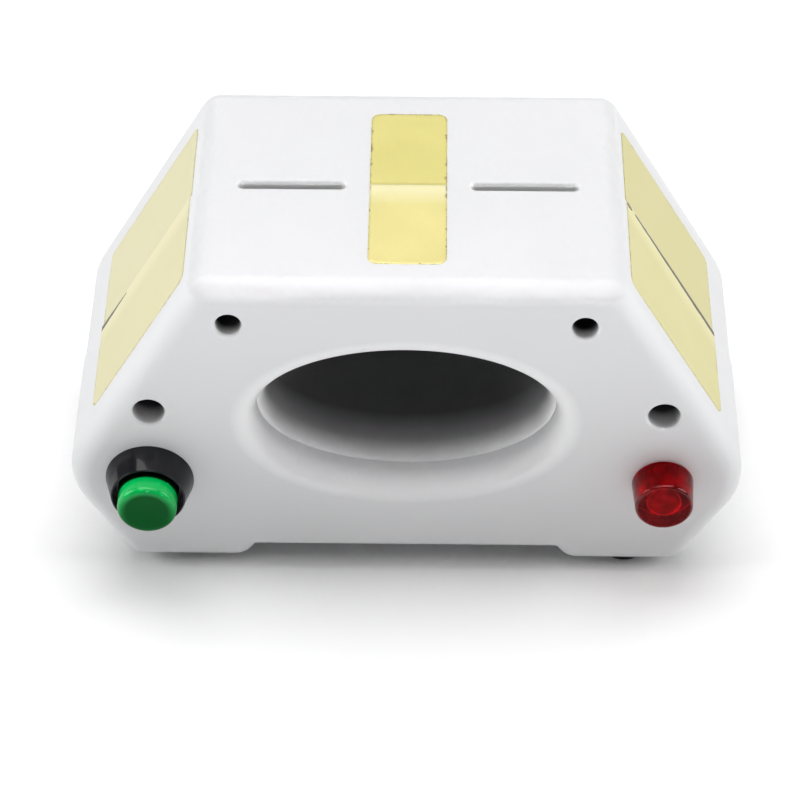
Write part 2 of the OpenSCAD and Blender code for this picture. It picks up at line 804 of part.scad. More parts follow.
module switch_bezel() {
    ridges = floor((barrel_l - wall - 1) / thread_pitch);
    r = barrel_d / 2;
    thread = [for (i = [0:ridges - 1])
                  for (p = [[r - thread_depth, i * thread_pitch], [r, (i + 0.5) * thread_pitch]])
                  [p[0], wall + p[1]]];
    color(rubber_black) at_button() difference() {
        union() {
            translate([0, 0, -bezel_h]) cylinder(d1 = bezel_rim_d, d2 = bezel_base_d, h = bezel_h);
            rotate_extrude()
                polygon(concat([[0, -over], [r, -over], [r, wall - 0.5]], thread,
                               [[r - thread_depth, wall + ridges * thread_pitch],
                                [r - thread_depth, barrel_l], [0, barrel_l]]));
        }
        translate([0, 0, -bezel_h - over]) cylinder(d = cap_d + 0.4, h = bezel_h + over + cap_bore_end);
        translate([0, 0, -bezel_h - over]) cylinder(d = bezel_rim_d - 2 * bezel_rim_t, h = bezel_well + over);
        cylinder(d = stem_d + 2 * screw_gap, h = barrel_l);
        translate([0, 0, web_end]) cylinder(d = chamber_d, h = barrel_l);
    }
}

module switch_nut() {
    color(steel) at_button() translate([0, 0, wall]) difference() {
        rotate(30) cylinder(d = nut_across / cos(30), h = nut_t, $fn = 6);
        translate([0, 0, -over]) cylinder(d = barrel_d + 0.2, h = nut_t + 2 * over);
    }
}

module switch_base() {
    color([0.45, 0.20, 0.12]) at_button() translate([0, 0, base_z]) difference() {
        cylinder(d = chamber_d - 2 * screw_gap, h = base_t);
        for (x = [-tab_x, tab_x])
            translate([x - tab_t / 2 - 0.1, -tab_w / 2 - 0.1, -over])
                cube([tab_t + 0.2, tab_w + 0.2, base_t + 2 * over]);
    }
}

module switch_terminals() {
    color(brass) at_button()
        for (x = [-tab_x, tab_x]) {
            translate([x - tab_t / 2, -post_w / 2, contact_z]) cube([tab_t, post_w, base_z - contact_z]);
            translate([x - tab_t / 2, -tab_w / 2, base_z]) cube([tab_t, tab_w, tab_end - base_z]);
        }
}

module at_lamp() {
    placed() into_front(lamp_x, lamp_z) children();
}

module lamp_lens() {
    round_h = 0.5;
    color([0.75, 0.03, 0.08]) at_lamp() difference() {
        union() {
            translate([0, 0, -lens_proud]) cylinder(d1 = lens_front_d - 0.8, d2 = lens_front_d, h = round_h);
            translate([0, 0, round_h - lens_proud])
                cylinder(d1 = lens_front_d, d2 = lens_base_d, h = lens_proud - round_h);
            cylinder(d = spigot_d, h = spigot_l);
        }
        translate([0, 0, lens_skin - lens_proud]) cylinder(d = lens_bore_d, h = lens_proud + spigot_l);
    }
}

module neon_bulb() {
    bulb_end = socket_front + cup_depth - 0.1;
    color([0.95, 0.75, 0.6]) at_lamp() {
        translate([0, 0, bulb_front + bulb_d / 2]) {
            sphere(d = bulb_d);
            cylinder(d = bulb_d, h = bulb_end - bulb_front - bulb_d / 2);
        }
    }
}

module lamp_socket() {
    color(nylon) at_lamp() difference() {
        union() {
            translate([0, 0, socket_front])
                cylinder(d = lens_bore_d - 2 * screw_gap, h = spigot_l - socket_front);
            translate([0, 0, spigot_l]) cylinder(d = spigot_d, h = socket_flange_t);
        }
        translate([0, 0, socket_front - over]) cylinder(d = bulb_d + 0.1, h = cup_depth + over);
    }
}

module lamp_nut() {
    color(rubber_black) at_lamp() translate([0, 0, wall]) difference() {
        rotate(30) cylinder(d = lamp_nut_d, h = lamp_nut_t, $fn = 6);
        translate([0, 0, -over]) cylinder(d = spigot_d + 0.2, h = lamp_nut_t + 2 * over);
    }
}

module lamp_resistor() {
    color([0.55, 0.70, 0.75]) placed()
        translate([resistor_x, resistor_y, floor_z]) rotate([0, 90, 0]) {
            cylinder(d = resistor_d, h = resistor_l, center = true);
            cylinder(d = 0.6, h = 2 * resistor_end, center = true);
        }
}

module cord_gland() {
    color(rubber_black) placed() into_back(gland_x, gland_z) difference() {
        union() {
            translate([0, 0, -gland_proud])
                cylinder(d1 = gland_flange_d - 2, d2 = gland_flange_d, h = gland_proud / 2);
            translate([0, 0, -gland_proud / 2]) cylinder(d = gland_flange_d, h = gland_proud / 2);
            cylinder(d = gland_neck_d, h = wall);
            translate([0, 0, wall]) cylinder(d = gland_inner_d, h = gland_inner_t);
        }
        translate([0, 0, -gland_proud - over])
            cylinder(d = gland_bore_d, h = gland_proud + wall + gland_inner_t + 2 * over);
    }
}

module at_block() {
    placed() translate([block_x, block_y, block_z]) children();
}

module terminal_block() {
    color(nylon) at_block() difference() {
        translate([-block_w / 2, -block_l / 2, 0]) cube([block_w, block_l, block_h]);
        for (x = [-way_pitch / 2, way_pitch / 2]) {
            translate([x, -block_l / 2 - over, way_z - block_z])
                rotate([-90, 0, 0]) cylinder(d = insert_d + 0.1, h = block_l + 2 * over);
            for (y = [-clamp_y, clamp_y])
                translate([x, y, way_z - block_z]) cylinder(d = clamp_d + 0.8, h = block_h);
        }
        translate([0, 0, -over]) cylinder(d = block_screw_d + 0.3, h = block_h);
        translate([0, 0, block_screw_seat]) cylinder(d = block_head_d + 2 * block_head_gap, h = block_h);
    }
}

module terminal_inserts() {
    color(brass) at_block()
        for (x = [-way_pitch / 2, way_pitch / 2])
            translate([x, 0, way_z - block_z]) difference() {
                rotate([90, 0, 0]) cylinder(d = insert_d, h = insert_l, center = true);
                rotate([90, 0, 0]) cylinder(d = insert_bore, h = insert_l + over, center = true);
                for (y = [-clamp_y, clamp_y])
                    translate([0, y, 0]) cylinder(d = clamp_d + 0.1, h = insert_d);
            }
}

module terminal_screws() {
    tip = way_z - block_z + wire_step + wire_d / 2 + 0.05;
    color(steel) at_block()
        for (x = [-way_pitch / 2, way_pitch / 2], y = [-clamp_y, clamp_y])
            translate([x, y, tip]) difference() {
                cylinder(d = clamp_d, h = clamp_top - tip);
                translate([-clamp_d, -0.25, clamp_top - tip - 0.6]) cube([2 * clamp_d, 0.5, 1]);
            }
}

module block_screw() {
    color(steel) at_block()
        translate([0, 0, block_screw_seat])
            rotate([180, 0, 0])
                pan_screw(block_head_d, block_screw_d, block_screw_l + block_screw_seat, block_head_h);
}

module switch_wire() {
    color([0.75, 0.1, 0.08]) placed() wire(switch_route);
}

module coil_wires() {
    color([0.1, 0.1, 0.1]) placed() {
        wire(coil_start_route);
        wire(coil_finish_route);
    }
}

module lamp_wires() {
    color([0.1, 0.25, 0.7]) placed() {
        wire(lamp_neutral_route);
        wire(lamp_feed_route);
        wire(lamp_return_route);
    }
}

front_shell();
rear_shell();
rubber_feet();
case_screws(upper_x, upper_z, upper_hole_d, upper_screw_d);  // upper_case_screws
case_screws(lower_x, lower_z, lower_hole_d, lower_screw_d);  // lower_case_screws
coil_former();
coil_winding();
coil_tape();
top_label();
left_label();
right_label();
button_cap();
button_stem();
contact_bridge();
return_spring();
switch_bezel();
switch_nut();
switch_base();
switch_terminals();
lamp_lens();
neon_bulb();
lamp_socket();
lamp_nut();
lamp_resistor();
cord_gland();
terminal_block();
terminal_inserts();
terminal_screws();
block_screw();
switch_wire();
coil_wires();
lamp_wires();
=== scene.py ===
import math

import bmesh
import bpy
from mathutils import Matrix, Vector


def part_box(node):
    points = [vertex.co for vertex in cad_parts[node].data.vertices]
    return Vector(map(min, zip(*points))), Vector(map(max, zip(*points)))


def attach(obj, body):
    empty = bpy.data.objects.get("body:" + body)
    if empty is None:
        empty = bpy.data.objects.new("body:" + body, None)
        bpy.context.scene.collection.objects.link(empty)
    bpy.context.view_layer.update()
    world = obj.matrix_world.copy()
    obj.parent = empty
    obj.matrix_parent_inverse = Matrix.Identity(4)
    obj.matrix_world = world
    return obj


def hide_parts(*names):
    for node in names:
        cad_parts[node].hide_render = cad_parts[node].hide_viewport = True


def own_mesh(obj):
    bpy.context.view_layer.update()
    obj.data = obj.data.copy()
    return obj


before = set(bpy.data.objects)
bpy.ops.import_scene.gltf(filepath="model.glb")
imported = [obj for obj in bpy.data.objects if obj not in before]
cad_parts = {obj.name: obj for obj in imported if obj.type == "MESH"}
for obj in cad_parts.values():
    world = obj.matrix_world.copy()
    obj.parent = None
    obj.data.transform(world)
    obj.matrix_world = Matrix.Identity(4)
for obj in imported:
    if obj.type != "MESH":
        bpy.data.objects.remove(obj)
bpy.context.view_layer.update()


# Front shell
# The front half of the case, injection moulded in white ABS: a shell that is open at the parting
# line, with a rolled lip round the tunnel, deep sockets for the case screws and two panel holes.

MM = 0.001
CASE_W = 150.0
CASE_H = 81.5
CASE_D = 72.0
TOP_FLAT = 86.0
BASE_FLAT = 119.0
WAIST_H = 25.9
WIDE_R = 17.0
CORNER_R = 5.0
EDGE_R = 4.8
WALL = 2.5
FACE_Y = -CASE_D / 2
FOOT_CORNER = (BASE_FLAT / 2, CORNER_R, CORNER_R)
WIDE_CORNER = (CASE_W / 2 - WIDE_R, WAIST_H, WIDE_R)
TOP_CORNER = (TOP_FLAT / 2, CASE_H - CORNER_R, CORNER_R)
TUNNEL_Z = 43.2
MOUTH_A = 33.3
MOUTH_B = 18.6
LIP_R = 5.5
MOUTH_END = 25.5
MOUTH_WALL = 2.2
MOUTH_CUT_END = 20.0
OVAL_STEPS = 144
RECESS_H = 3.4
RECESS_X = 36.3
RECESS_SLOPE = 55.0
RECESS_ROOT_R = 0.5
UPPER_HOLE = (38.2, 71.3, 2.8)
LOWER_HOLE = (56.5, 45.9, 3.55)
HOLE_RIM_R = 0.6
SOCKET_WALL = 1.8
SOCKET_DEPTH = 27.0
SOCKET_END = 29.5
SLOT_X = 25.7
SLOT_L = 23.7
SLOT_W = 2.6
SLOT_RIM_R = 0.8
SLOT_DEPTH = 6.0
BUTTON_X = -57.2
LAMP_X = 57.2
PANEL_Z = 26.0
BARREL_R = 7.8
SPIGOT_R = 5.7
PANEL_GAP = 0.2
PANEL_CUT = 4.0
GLAND_HOLE_R = 4.85
FOOT_R = 5.0
FOOT_X = 50.0
FOOT_Y = 27.5
FOOT_GAP = 0.1
FOOT_SUNK = 1.0
LEFT_FOOT_BACK = 1.5
SEAM_BEVEL = 0.15
SKIM = 0.004
INTO_WALL = 1.2
CLEAR = 1.0

seam_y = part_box("front_shell")[1].y
base_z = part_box("front_shell")[0].z


def placed(x, y, z):
    """The scene's point for one given in mm from the middle, the parting line and the underside."""
    return Vector((x * MM, y * MM + seam_y, z * MM + base_z))


def facing(a, b):
    """Angle that the straight side between two rounded corners faces; a corner is (x, z, radius)."""
    dx, dz = b[0] - a[0], b[1] - a[1]
    return math.atan2(dz, dx) + math.acos((a[2] - b[2]) / math.hypot(dx, dz))


def arc(x, z, r, start, end, steps):
    """Points of an arc about a centre, both ends included."""
    turns = [start + (end - start) * i / steps for i in range(steps + 1)]
    return [(x + r * math.cos(a), z + r * math.sin(a)) for a in turns]


def case_outline(grow):
    """The case's outline seen from the front, grown outwards by a distance."""
    slope, flank = facing(TOP_CORNER, WIDE_CORNER), facing(WIDE_CORNER, FOOT_CORNER)
    half = []
    for (x, z, r), start, end, steps in (
        (FOOT_CORNER, -math.pi / 2, flank, 12),
        (WIDE_CORNER, flank, slope, 20),
        (TOP_CORNER, slope, math.pi / 2, 12),
    ):
        half += arc(x, z, max(r + grow, 0.05), start, end, steps)
    return half + [(-x, z) for x, z in reversed(half)]


def oval(grow):
    """The tunnel's oval, grown outwards by the same distance all round."""
    points = []
    for i in range(OVAL_STEPS):
        a = 2 * math.pi * i / OVAL_STEPS
        nx, nz = MOUTH_B * math.cos(a), MOUTH_A * math.sin(a)
        length = math.hypot(nx, nz)
        points.append((MOUTH_A * math.cos(a) + grow * nx / length,
                       TUNNEL_Z + MOUTH_B * math.sin(a) + grow * nz / length))
    return points


def recess_outline(grow):
    """The recess between the two foot bars, which the cut runs out of below, grown into the case."""
    slope = math.radians(RECESS_SLOPE)
    centre_x = RECESS_X + CORNER_R * math.tan(slope / 2)
    root_z = RECESS_H - RECESS_ROOT_R
    root_x = RECESS_X - (root_z + RECESS_ROOT_R * math.cos(slope)) / math.tan(slope)
    root_x -= RECESS_ROOT_R * math.sin(slope)
    half = [(centre_x, -6.0)]
    half += arc(centre_x, CORNER_R, CORNER_R - grow, -math.pi / 2, -math.pi / 2 - slope, 10)
    half += arc(root_x, root_z, RECESS_ROOT_R + grow, math.pi / 2 - slope, math.pi / 2, 8)
    return half + [(-x, z) for x, z in reversed(half)]


def round_hole(x, z, r):
    """An outline function for a round hole about (x, z)."""
    return lambda grow: arc(x, z, r + grow, 0, 2 * math.pi, 48)[:-1]


def skin(bm, rings, hoop=False):
    """A closed solid over rings of as many points each: capped at both ends, or joined to a hoop."""
    rows = [[bm.verts.new(p) for p in ring] for ring in rings]
    count = len(rows[0])
    faces = []
    if hoop:
        rows.append(rows[0])
    else:
        faces += [bm.faces.new(rows[0]), bm.faces.new(rows[-1])]
    for near, far in zip(rows, rows[1:]):
        for i in range(count):
            k = (i + 1) % count
            faces.append(bm.faces.new((near[i], near[k], far[k], far[i])))
    bmesh.ops.recalc_face_normals(bm, faces=faces)


def along_y(bm, outline, stations):
    """Lofts an outline function through stations of (Y from the parting line, growth)."""
    skin(bm, [[placed(x, y, z) for x, z in outline(grow)] for y, grow in stations])


def rolled(face, into, r, steps=6):
    """Stations of a rim that rolls from a face into a hole; into is +1 or -1 along Y."""
    turns = [math.pi / 2 * i / steps for i in range(steps + 1)]
    return [(face + into * (r * (1 - math.cos(a)) + SKIM), r * (1 - math.sin(a))) for a in turns]


def solid(name, build):
    """A mesh object from a function that fills a bmesh with closed solids."""
    bm = bmesh.new()
    build(bm)
    mesh = bpy.data.meshes.new(name)
    bm.to_mesh(mesh)
    bm.free()
    piece = bpy.data.objects.new(name, mesh)
    bpy.context.scene.collection.objects.link(piece)
    return piece


def carve(piece, operation, tool, crossing=False):
    """Joins or cuts a piece with a tool, which is used up; crossing is for parts that overlap."""
    cut = piece.modifiers.new("carve", "BOOLEAN")
    cut.operation = operation
    cut.solver = "EXACT"
    cut.use_self = crossing
    cut.object = tool
    settle(piece)
    bpy.data.objects.remove(tool)


def settle(piece):
    """Turns a piece's modifiers into plain mesh."""
    graph = bpy.context.evaluated_depsgraph_get()
    graph.update()
    mesh = bpy.data.meshes.new_from_object(piece.evaluated_get(graph))
    piece.modifiers.clear()
    piece.data = mesh


# How fast painted shade darkens each kind of hole, per mm of depth.
UPPER_HOLE_PAINTED_SHADE = 2.0
LOWER_HOLE_PAINTED_SHADE = 1.15
SLOT_PAINTED_SHADE = 0.15
MARK_SLACK = 0.1
MOUTH_SLACK = 1.02


def mark_shades(piece, side, inset):
    """Stores two values at each point. Depth, roughly in mm, sets painted shade that darkens the screws'
    holes and the slots. The other value, from 0 to 1, is painted light that pales the tunnel's lip and
    the rims of the holes and slots. Both are 0 where the flat faces begin, because a value at a corner
    of a large face would spread over all of it."""
    depth = piece.data.attributes.new("depth", "FLOAT", "POINT")
    lip = piece.data.attributes.new("lip", "FLOAT", "POINT")
    face = side * (CASE_D / 2 - inset)
    for index, vert in enumerate(piece.data.vertices):
        x, y, z = vert.co.x / MM, (vert.co.y - seam_y) / MM, (vert.co.z - base_z) / MM
        behind_face = abs(y - face)
        under_top = CASE_H - inset - z
        for (hole_x, hole_z, r), shade_rate in ((UPPER_HOLE, UPPER_HOLE_PAINTED_SHADE), (LOWER_HOLE, LOWER_HOLE_PAINTED_SHADE)):
            if math.hypot(abs(x) - hole_x, z - hole_z) < r + HOLE_RIM_R + MARK_SLACK / 2:
                on_rim = HOLE_RIM_R / 4 < behind_face < HOLE_RIM_R + MARK_SLACK
                # Painted shade: darker the deeper the point lies in the hole.
                depth.data[index].value = behind_face * shade_rate
                # Painted light on the hole's rim.
                lip.data[index].value = 1.0 if on_rim else 0.0
        in_slot = abs(abs(x) - SLOT_X) < SLOT_L / 2 + CLEAR and abs(y) < SLOT_W / 2 + MARK_SLACK
        if in_slot and 0 < under_top < SLOT_DEPTH + CLEAR:
            # Painted shade: darker the deeper the point lies in the slot.
            depth.data[index].value = under_top * SLOT_PAINTED_SHADE
            # Painted light on the slot's walls.
            lip.data[index].value = 1.0 if under_top > MARK_SLACK else 0.0
        across, up = x / (MOUTH_A + LIP_R), (z - TUNNEL_Z) / (MOUTH_B + LIP_R)
        if math.hypot(across, up) < MOUTH_SLACK and behind_face < LIP_R + MARK_SLACK:
            # Painted light over the rounding of the tunnel's lip.
            rolled_by = math.acos(max(1 - behind_face / LIP_R, 0.0))
            lip.data[index].value = math.sin(min(2 * rolled_by, math.pi / 2))


MERGE_GAP = 2e-7


def polish(piece, crease=32.0):
    """Shades a piece smooth between creases of more than an angle, with flat faces kept flat."""
    bm = bmesh.new()
    bm.from_mesh(piece.data)
    bmesh.ops.remove_doubles(bm, verts=bm.verts, dist=MERGE_GAP)
    bmesh.ops.dissolve_degenerate(bm, edges=bm.edges, dist=MERGE_GAP / 2)
    for face in bm.faces:
        face.smooth = True
    for edge in bm.edges:
        edge.smooth = len(edge.link_faces) == 2 and edge.calc_face_angle(0) < math.radians(crease)
    bm.to_mesh(piece.data)
    bm.free()
    weight = piece.modifiers.new("weight", "WEIGHTED_NORMAL")
    weight.keep_sharp = True
    weight.weight = 100
    settle(piece)


def half_case(inset, side, steps):
    """Stations of the rounded edge of one half; side is -1 at the front and +1 at the back."""
    r = EDGE_R - inset
    turns = [math.pi / 2 * i / steps for i in range(steps + 1)]
    return [(side * (CASE_D / 2 - EDGE_R + r * math.cos(a)), r * math.sin(a) - EDGE_R) for a in turns]


class Wire:
    """A node's output that Python expressions turn into Math nodes."""

    def __init__(self, finish, socket):
        self.finish = finish
        self.socket = socket

    def math(self, operation, first, second):
        return self.finish.node("ShaderNodeMath", {"operation": operation}, {0: first, 1: second})

    def __add__(self, other):
        return self.math("ADD", self, other)

    def __radd__(self, other):
        return self.math("ADD", other, self)

    def __sub__(self, other):
        return self.math("SUBTRACT", self, other)

    def __mul__(self, other):
        return self.math("MULTIPLY", self, other)

    def __rmul__(self, other):
        return self.math("MULTIPLY", other, self)

    def absolute(self):
        return self.finish.node("ShaderNodeMath", {"operation": "ABSOLUTE"}, {0: self})

    def below(self, other):
        return self.math("LESS_THAN", self, other)


class Finish:
    """A material whose Principled shader is fed by wires."""

    def __init__(self, name):
        self.material = bpy.data.materials.new(name)
        self.material.use_nodes = True
        self.tree = self.material.node_tree
        self.shader = self.tree.nodes["Principled BSDF"]

    def node(self, kind, settings=None, sockets=None, out=0):
        """Adds a node with its settings and input sockets, and gives one of its outputs."""
        made = self.tree.nodes.new(kind)
        for key, value in (settings or {}).items():
            if key == "stops":
                ramp = made.color_ramp
                ramp.elements[0].position, ramp.elements[0].color = value[0]
                ramp.elements[1].position, ramp.elements[1].color = value[-1]
                for position, colour in value[1:-1]:
                    ramp.elements.new(position).color = colour
            else:
                setattr(made, key, value)
        self.feed(made, sockets or {})
        return Wire(self, made.outputs[out])

    def feed(self, made, sockets):
        for key, value in sockets.items():
            if isinstance(value, Wire):
                self.tree.links.new(value.socket, made.inputs[key])
            else:
                made.inputs[key].default_value = value

    def surface(self, **sockets):
        """Feeds the shader's sockets, written with _ for a space."""
        self.feed(self.shader, {key.replace("_", " "): value for key, value in sockets.items()})

    def place(self):
        return self.node("ShaderNodeTexCoord", out="Object")

    def stored(self, name):
        """A value that the mesh holds at its points."""
        return self.node("ShaderNodeAttribute", {"attribute_name": name}, out="Fac")

    def noise(self, size, detail=3.0, roughness=0.5, at=None):
        """Noise with features of a size in metres."""
        return self.node("ShaderNodeTexNoise", {"noise_dimensions": "3D"}, {
            "Vector": at or self.place(), "Scale": 1 / size, "Detail": detail, "Roughness": roughness})

    def blend(self, factor, first, second):
        return self.node("ShaderNodeMix", {"data_type": "RGBA"}, {
            "Factor": factor, "A": first, "B": second}, out=2)

    def clamp(self, value, start, end):
        """0 to 1 while a value goes from start to end, and flat beyond them."""
        return self.node("ShaderNodeMapRange", {}, {
            "Value": value, "From Min": start, "From Max": end, "To Min": 0.0, "To Max": 1.0})

    def relief(self, height, depth, strength=1.0):
        return self.node("ShaderNodeBump", {}, {
            "Height": height, "Distance": depth, "Strength": strength})


def white_plastic():
    """White ABS from a finely sparked mould, with faint flow marks, painted paler on lip and rims as
    light falling there, and painted shade deep in the holes and slots.
    """
    finish = Finish("case_plastic")
    flow = finish.noise(0.035, 2.0)
    grain = finish.noise(0.0007, 2.0, 0.6)
    handling = finish.noise(0.009, 4.0, 0.6)
    depth = finish.stored("depth")
    lip = finish.stored("lip")
    tone = finish.blend(flow, (0.71, 0.713, 0.722, 1), (0.68, 0.684, 0.697, 1))
    # Painted light: a paler tone on the tunnel's lip and on the rims of the holes and slots.
    tone = finish.blend(0.75 * lip, tone, (0.90, 0.90, 0.905, 1))
    # Painted shade: the base colour runs to near black deep in the screws' holes and slots.
    finish.surface(
        Base_Color=finish.blend(finish.clamp(depth, 0.3, 7.0), tone, (0.012, 0.012, 0.013, 1)),
        Roughness=0.38 + 0.12 * handling,
        Specular_IOR_Level=0.5,
        Normal=finish.relief(grain, 0.00002, 0.35))
    return finish.material


case_plastic = white_plastic()


def make_shell(name, side, inset):
    """One shell of the case; side is -1 at the front and +1 at the back. The cuts start outside it."""
    face = side * CASE_D / 2
    into = -side
    inner_face = face + into * INTO_WALL

    def outer(bm):
        edge = half_case(inset, side, 10)
        along_y(bm, case_outline, edge + [(side * SEAM_BEVEL, -inset), (0.0, -inset - SEAM_BEVEL)])

    def cavity(bm):
        edge = half_case(inset + WALL, side, 4)
        along_y(bm, case_outline, edge + [(-side * CLEAR, -inset - WALL)])

    def inner_walls(bm):
        along_y(bm, oval, [(inner_face, MOUTH_WALL), (side * MOUTH_END, MOUTH_WALL)])
        bottom, roof = WALL / 2, RECESS_H + WALL
        slope = math.radians(RECESS_SLOPE)
        edge_x = RECESS_X + WALL / math.sin(slope)
        wall = [(edge_x - bottom / math.tan(slope), bottom), (edge_x - roof / math.tan(slope), roof)]
        wall += [(-x, z) for x, z in reversed(wall)]
        along_y(bm, lambda grow: wall, [(face + into * WALL * 0.8, 0), (0.0, 0)])
        for x, z, r in (UPPER_HOLE, LOWER_HOLE):
            for flip in (-1, 1):
                tube = round_hole(flip * x, z, r + SOCKET_WALL)
                along_y(bm, tube, [(inner_face, 0), (FACE_Y + SOCKET_END, 0)])

    def rolled_cut(bm, outline, r, steps, end_y):
        along_y(bm, outline, [(face - into * CLEAR, r)] + rolled(face, into, r, steps) + [(end_y, 0)])

    def openings(bm):
        rolled_cut(bm, oval, LIP_R, 14, side * MOUTH_CUT_END)
        rolled_cut(bm, recess_outline, EDGE_R, 10, -side * CLEAR)
        for flip in (-1, 1):
            if side < 0:
                for x, z, r in (UPPER_HOLE, LOWER_HOLE):
                    rolled_cut(bm, round_hole(flip * x, z, r), HOLE_RIM_R, 4, face + into * SOCKET_DEPTH)
            slot_cut(bm, flip * SLOT_X, CASE_H - inset)
        back = LEFT_FOOT_BACK if side < 0 else 0.0
        for x, y in ((-FOOT_X, side * FOOT_Y + back), (FOOT_X, side * FOOT_Y)):
            pocket = round_hole(x, y, FOOT_R + FOOT_GAP)(0)
            skin(bm, [[placed(px, py, z) for px, py in pocket] for z in (-3 * CLEAR, FOOT_SUNK)])
        holes = [(BUTTON_X, BARREL_R + PANEL_GAP), (LAMP_X, SPIGOT_R + PANEL_GAP)]
        if side > 0:
            holes = [(LAMP_X, GLAND_HOLE_R)]
        for x, r in holes:
            cut = [(face - into * CLEAR, 0), (face + into * PANEL_CUT, 0)]
            along_y(bm, round_hole(x, PANEL_Z, r), cut)

    shell = solid(name, outer)
    carve(shell, "DIFFERENCE", solid("cavity", cavity))
    carve(shell, "UNION", solid("inner_walls", inner_walls), crossing=True)
    carve(shell, "DIFFERENCE", solid("openings", openings), crossing=True)
    polish(shell)
    mark_shades(shell, side, inset)
    shell.data.materials.clear()
    shell.data.materials.append(case_plastic)
    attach(shell, "case")
    return shell


def slot_cut(bm, x, top_z):
    """A slot with round ends, cut down through the top with a small rolled rim."""
    half = (SLOT_L - SLOT_W) / 2

    def ring(z, grow):
        r = SLOT_W / 2 + grow
        points = arc(x + half, 0, r, -math.pi / 2, math.pi / 2, 14)
        points += arc(x - half, 0, r, math.pi / 2, math.pi * 1.5, 14)
        return [placed(px, py, z) for px, py in points]

    stations = [(top_z + CLEAR, SLOT_RIM_R)] + rolled(top_z, -1, SLOT_RIM_R) + [(top_z - SLOT_DEPTH, 0)]
    skin(bm, [ring(z, grow) for z, grow in stations])


front_shell = make_shell("front_shell_skin", -1, 0.0)
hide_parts("front_shell")


# Rear shell
# The back half of the case, moulded in the same white ABS. It sits 0.3 mm inside the front shell's
# outline, so a fine step runs round the parting line.

REAR_STEP = 0.3
rear_shell = make_shell("rear_shell_skin", 1, REAR_STEP)
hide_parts("rear_shell")


# Coil former
# A nylon bobbin: an oval sleeve that lines the tunnel, with a flange at each end of the winding.

SLEEVE_OUT = -0.06
SLEEVE_WALL = 2.0
SLEEVE_REACH = 28.5
SLEEVE_LEAD = 6.0
SLEEVE_TIP = 0.1
PAINTED_SHADE_REACH = 14.5
FLANGE_T = 2.0
FLANGE_RISE = 9.5


def bobbin(bm):
    """A profile of (Y, growth) pairs swept round the oval: the front half, then its mirror image."""
    inside, outside, flange = SLEEVE_OUT - SLEEVE_WALL, SLEEVE_OUT, SLEEVE_OUT + FLANGE_RISE
    rise = SLEEVE_WALL - SLEEVE_TIP
    end, back = SLEEVE_REACH, MOUTH_END
    turns = [math.pi / 2 * (1 - i / 10) for i in range(11)]
    half = [(-end + SLEEVE_LEAD * (1 - math.cos(a)), inside + rise * (1 - math.sin(a))) for a in turns]
    half += [(-end + SLEEVE_TIP, outside), (-back, outside), (-back, flange),
             (-back + FLANGE_T, flange), (-back + FLANGE_T, outside)]
    profile = half + [(-y, grow) for y, grow in reversed(half)]
    skin(bm, [[placed(x, y, z) for x, z in oval(grow)] for y, grow in profile], hoop=True)


def nylon_finish():
    """Nylon with a satin moulded surface; its colour is painted shade, near black in the middle of the
    tunnel and as pale as the case at the sleeve's two ends.
    """
    finish = Finish("nylon")
    mottle = finish.noise(0.006, 3.0)
    along = finish.node("ShaderNodeSeparateXYZ", {}, {"Vector": finish.place()}, out="Y")
    away = (along - seam_y).absolute()
    # Painted shade along the tunnel: darkest in the middle, pale at the sleeve's ends.
    tone = finish.node("ShaderNodeValToRGB", {"stops": (
        (0.0, (0.060, 0.060, 0.062, 1)),
        (0.64, (0.33, 0.33, 0.335, 1)),
        (1.0, (0.85, 0.85, 0.855, 1)),
    )}, {"Fac": finish.clamp(away, PAINTED_SHADE_REACH * MM, SLEEVE_REACH * MM)})
    finish.surface(
        Base_Color=finish.blend(0.08 * mottle, tone, (0.05, 0.05, 0.052, 1)),
        Roughness=0.40 + 0.15 * mottle,
        Normal=finish.relief(finish.noise(0.0006, 2.0), 0.00002, 0.4))
    return finish.material


former = solid("coil_former_skin", bobbin)
polish(former)
former.data.materials.append(nylon_finish())
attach(former, "case")
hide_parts("coil_former")


# Coil winding, tape and inside pieces
# Enamelled copper wire under tape, the switch's and the lamp's inner pieces, the terminal block and
# the wires: the solids of the frame, each with the finish of its own stuff.


def plain_finish(name, light, shade_rate, rough, metal=0.0, size=0.004, depth=0.00001, **more):
    """A finish that varies a little between two colours, for the smaller pieces."""
    finish = Finish(name)
    mottle = finish.noise(size, 4.0, 0.6)
    finish.surface(
        Base_Color=finish.blend(mottle, (*light, 1), (*shade_rate, 1)),
        Roughness=rough - 0.06 + 0.12 * mottle,
        Metallic=metal,
        Normal=finish.relief(mottle, depth, 0.4),
        **more)
    return finish.material


def dress(material, *names):
    """Gives solids of the frame a material."""
    for name in names:
        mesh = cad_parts[name].data
        mesh.materials.clear()
        mesh.materials.append(material)


def wound_copper():
    """Fine enamelled wire, whose turns lie side by side round the tunnel."""
    finish = Finish("winding_copper")
    turns = finish.node("ShaderNodeTexWave", {"wave_type": "BANDS", "bands_direction": "Y"}, {
        "Vector": finish.place(), "Scale": 250.0, "Distortion": 0.6, "Detail": 1.0})
    finish.surface(
        Base_Color=finish.blend(turns, (0.30, 0.10, 0.04, 1), (0.62, 0.26, 0.10, 1)),
        Roughness=0.30 + 0.15 * turns,
        Metallic=0.85,
        Normal=finish.relief(turns, 0.0001, 0.8))
    return finish.material


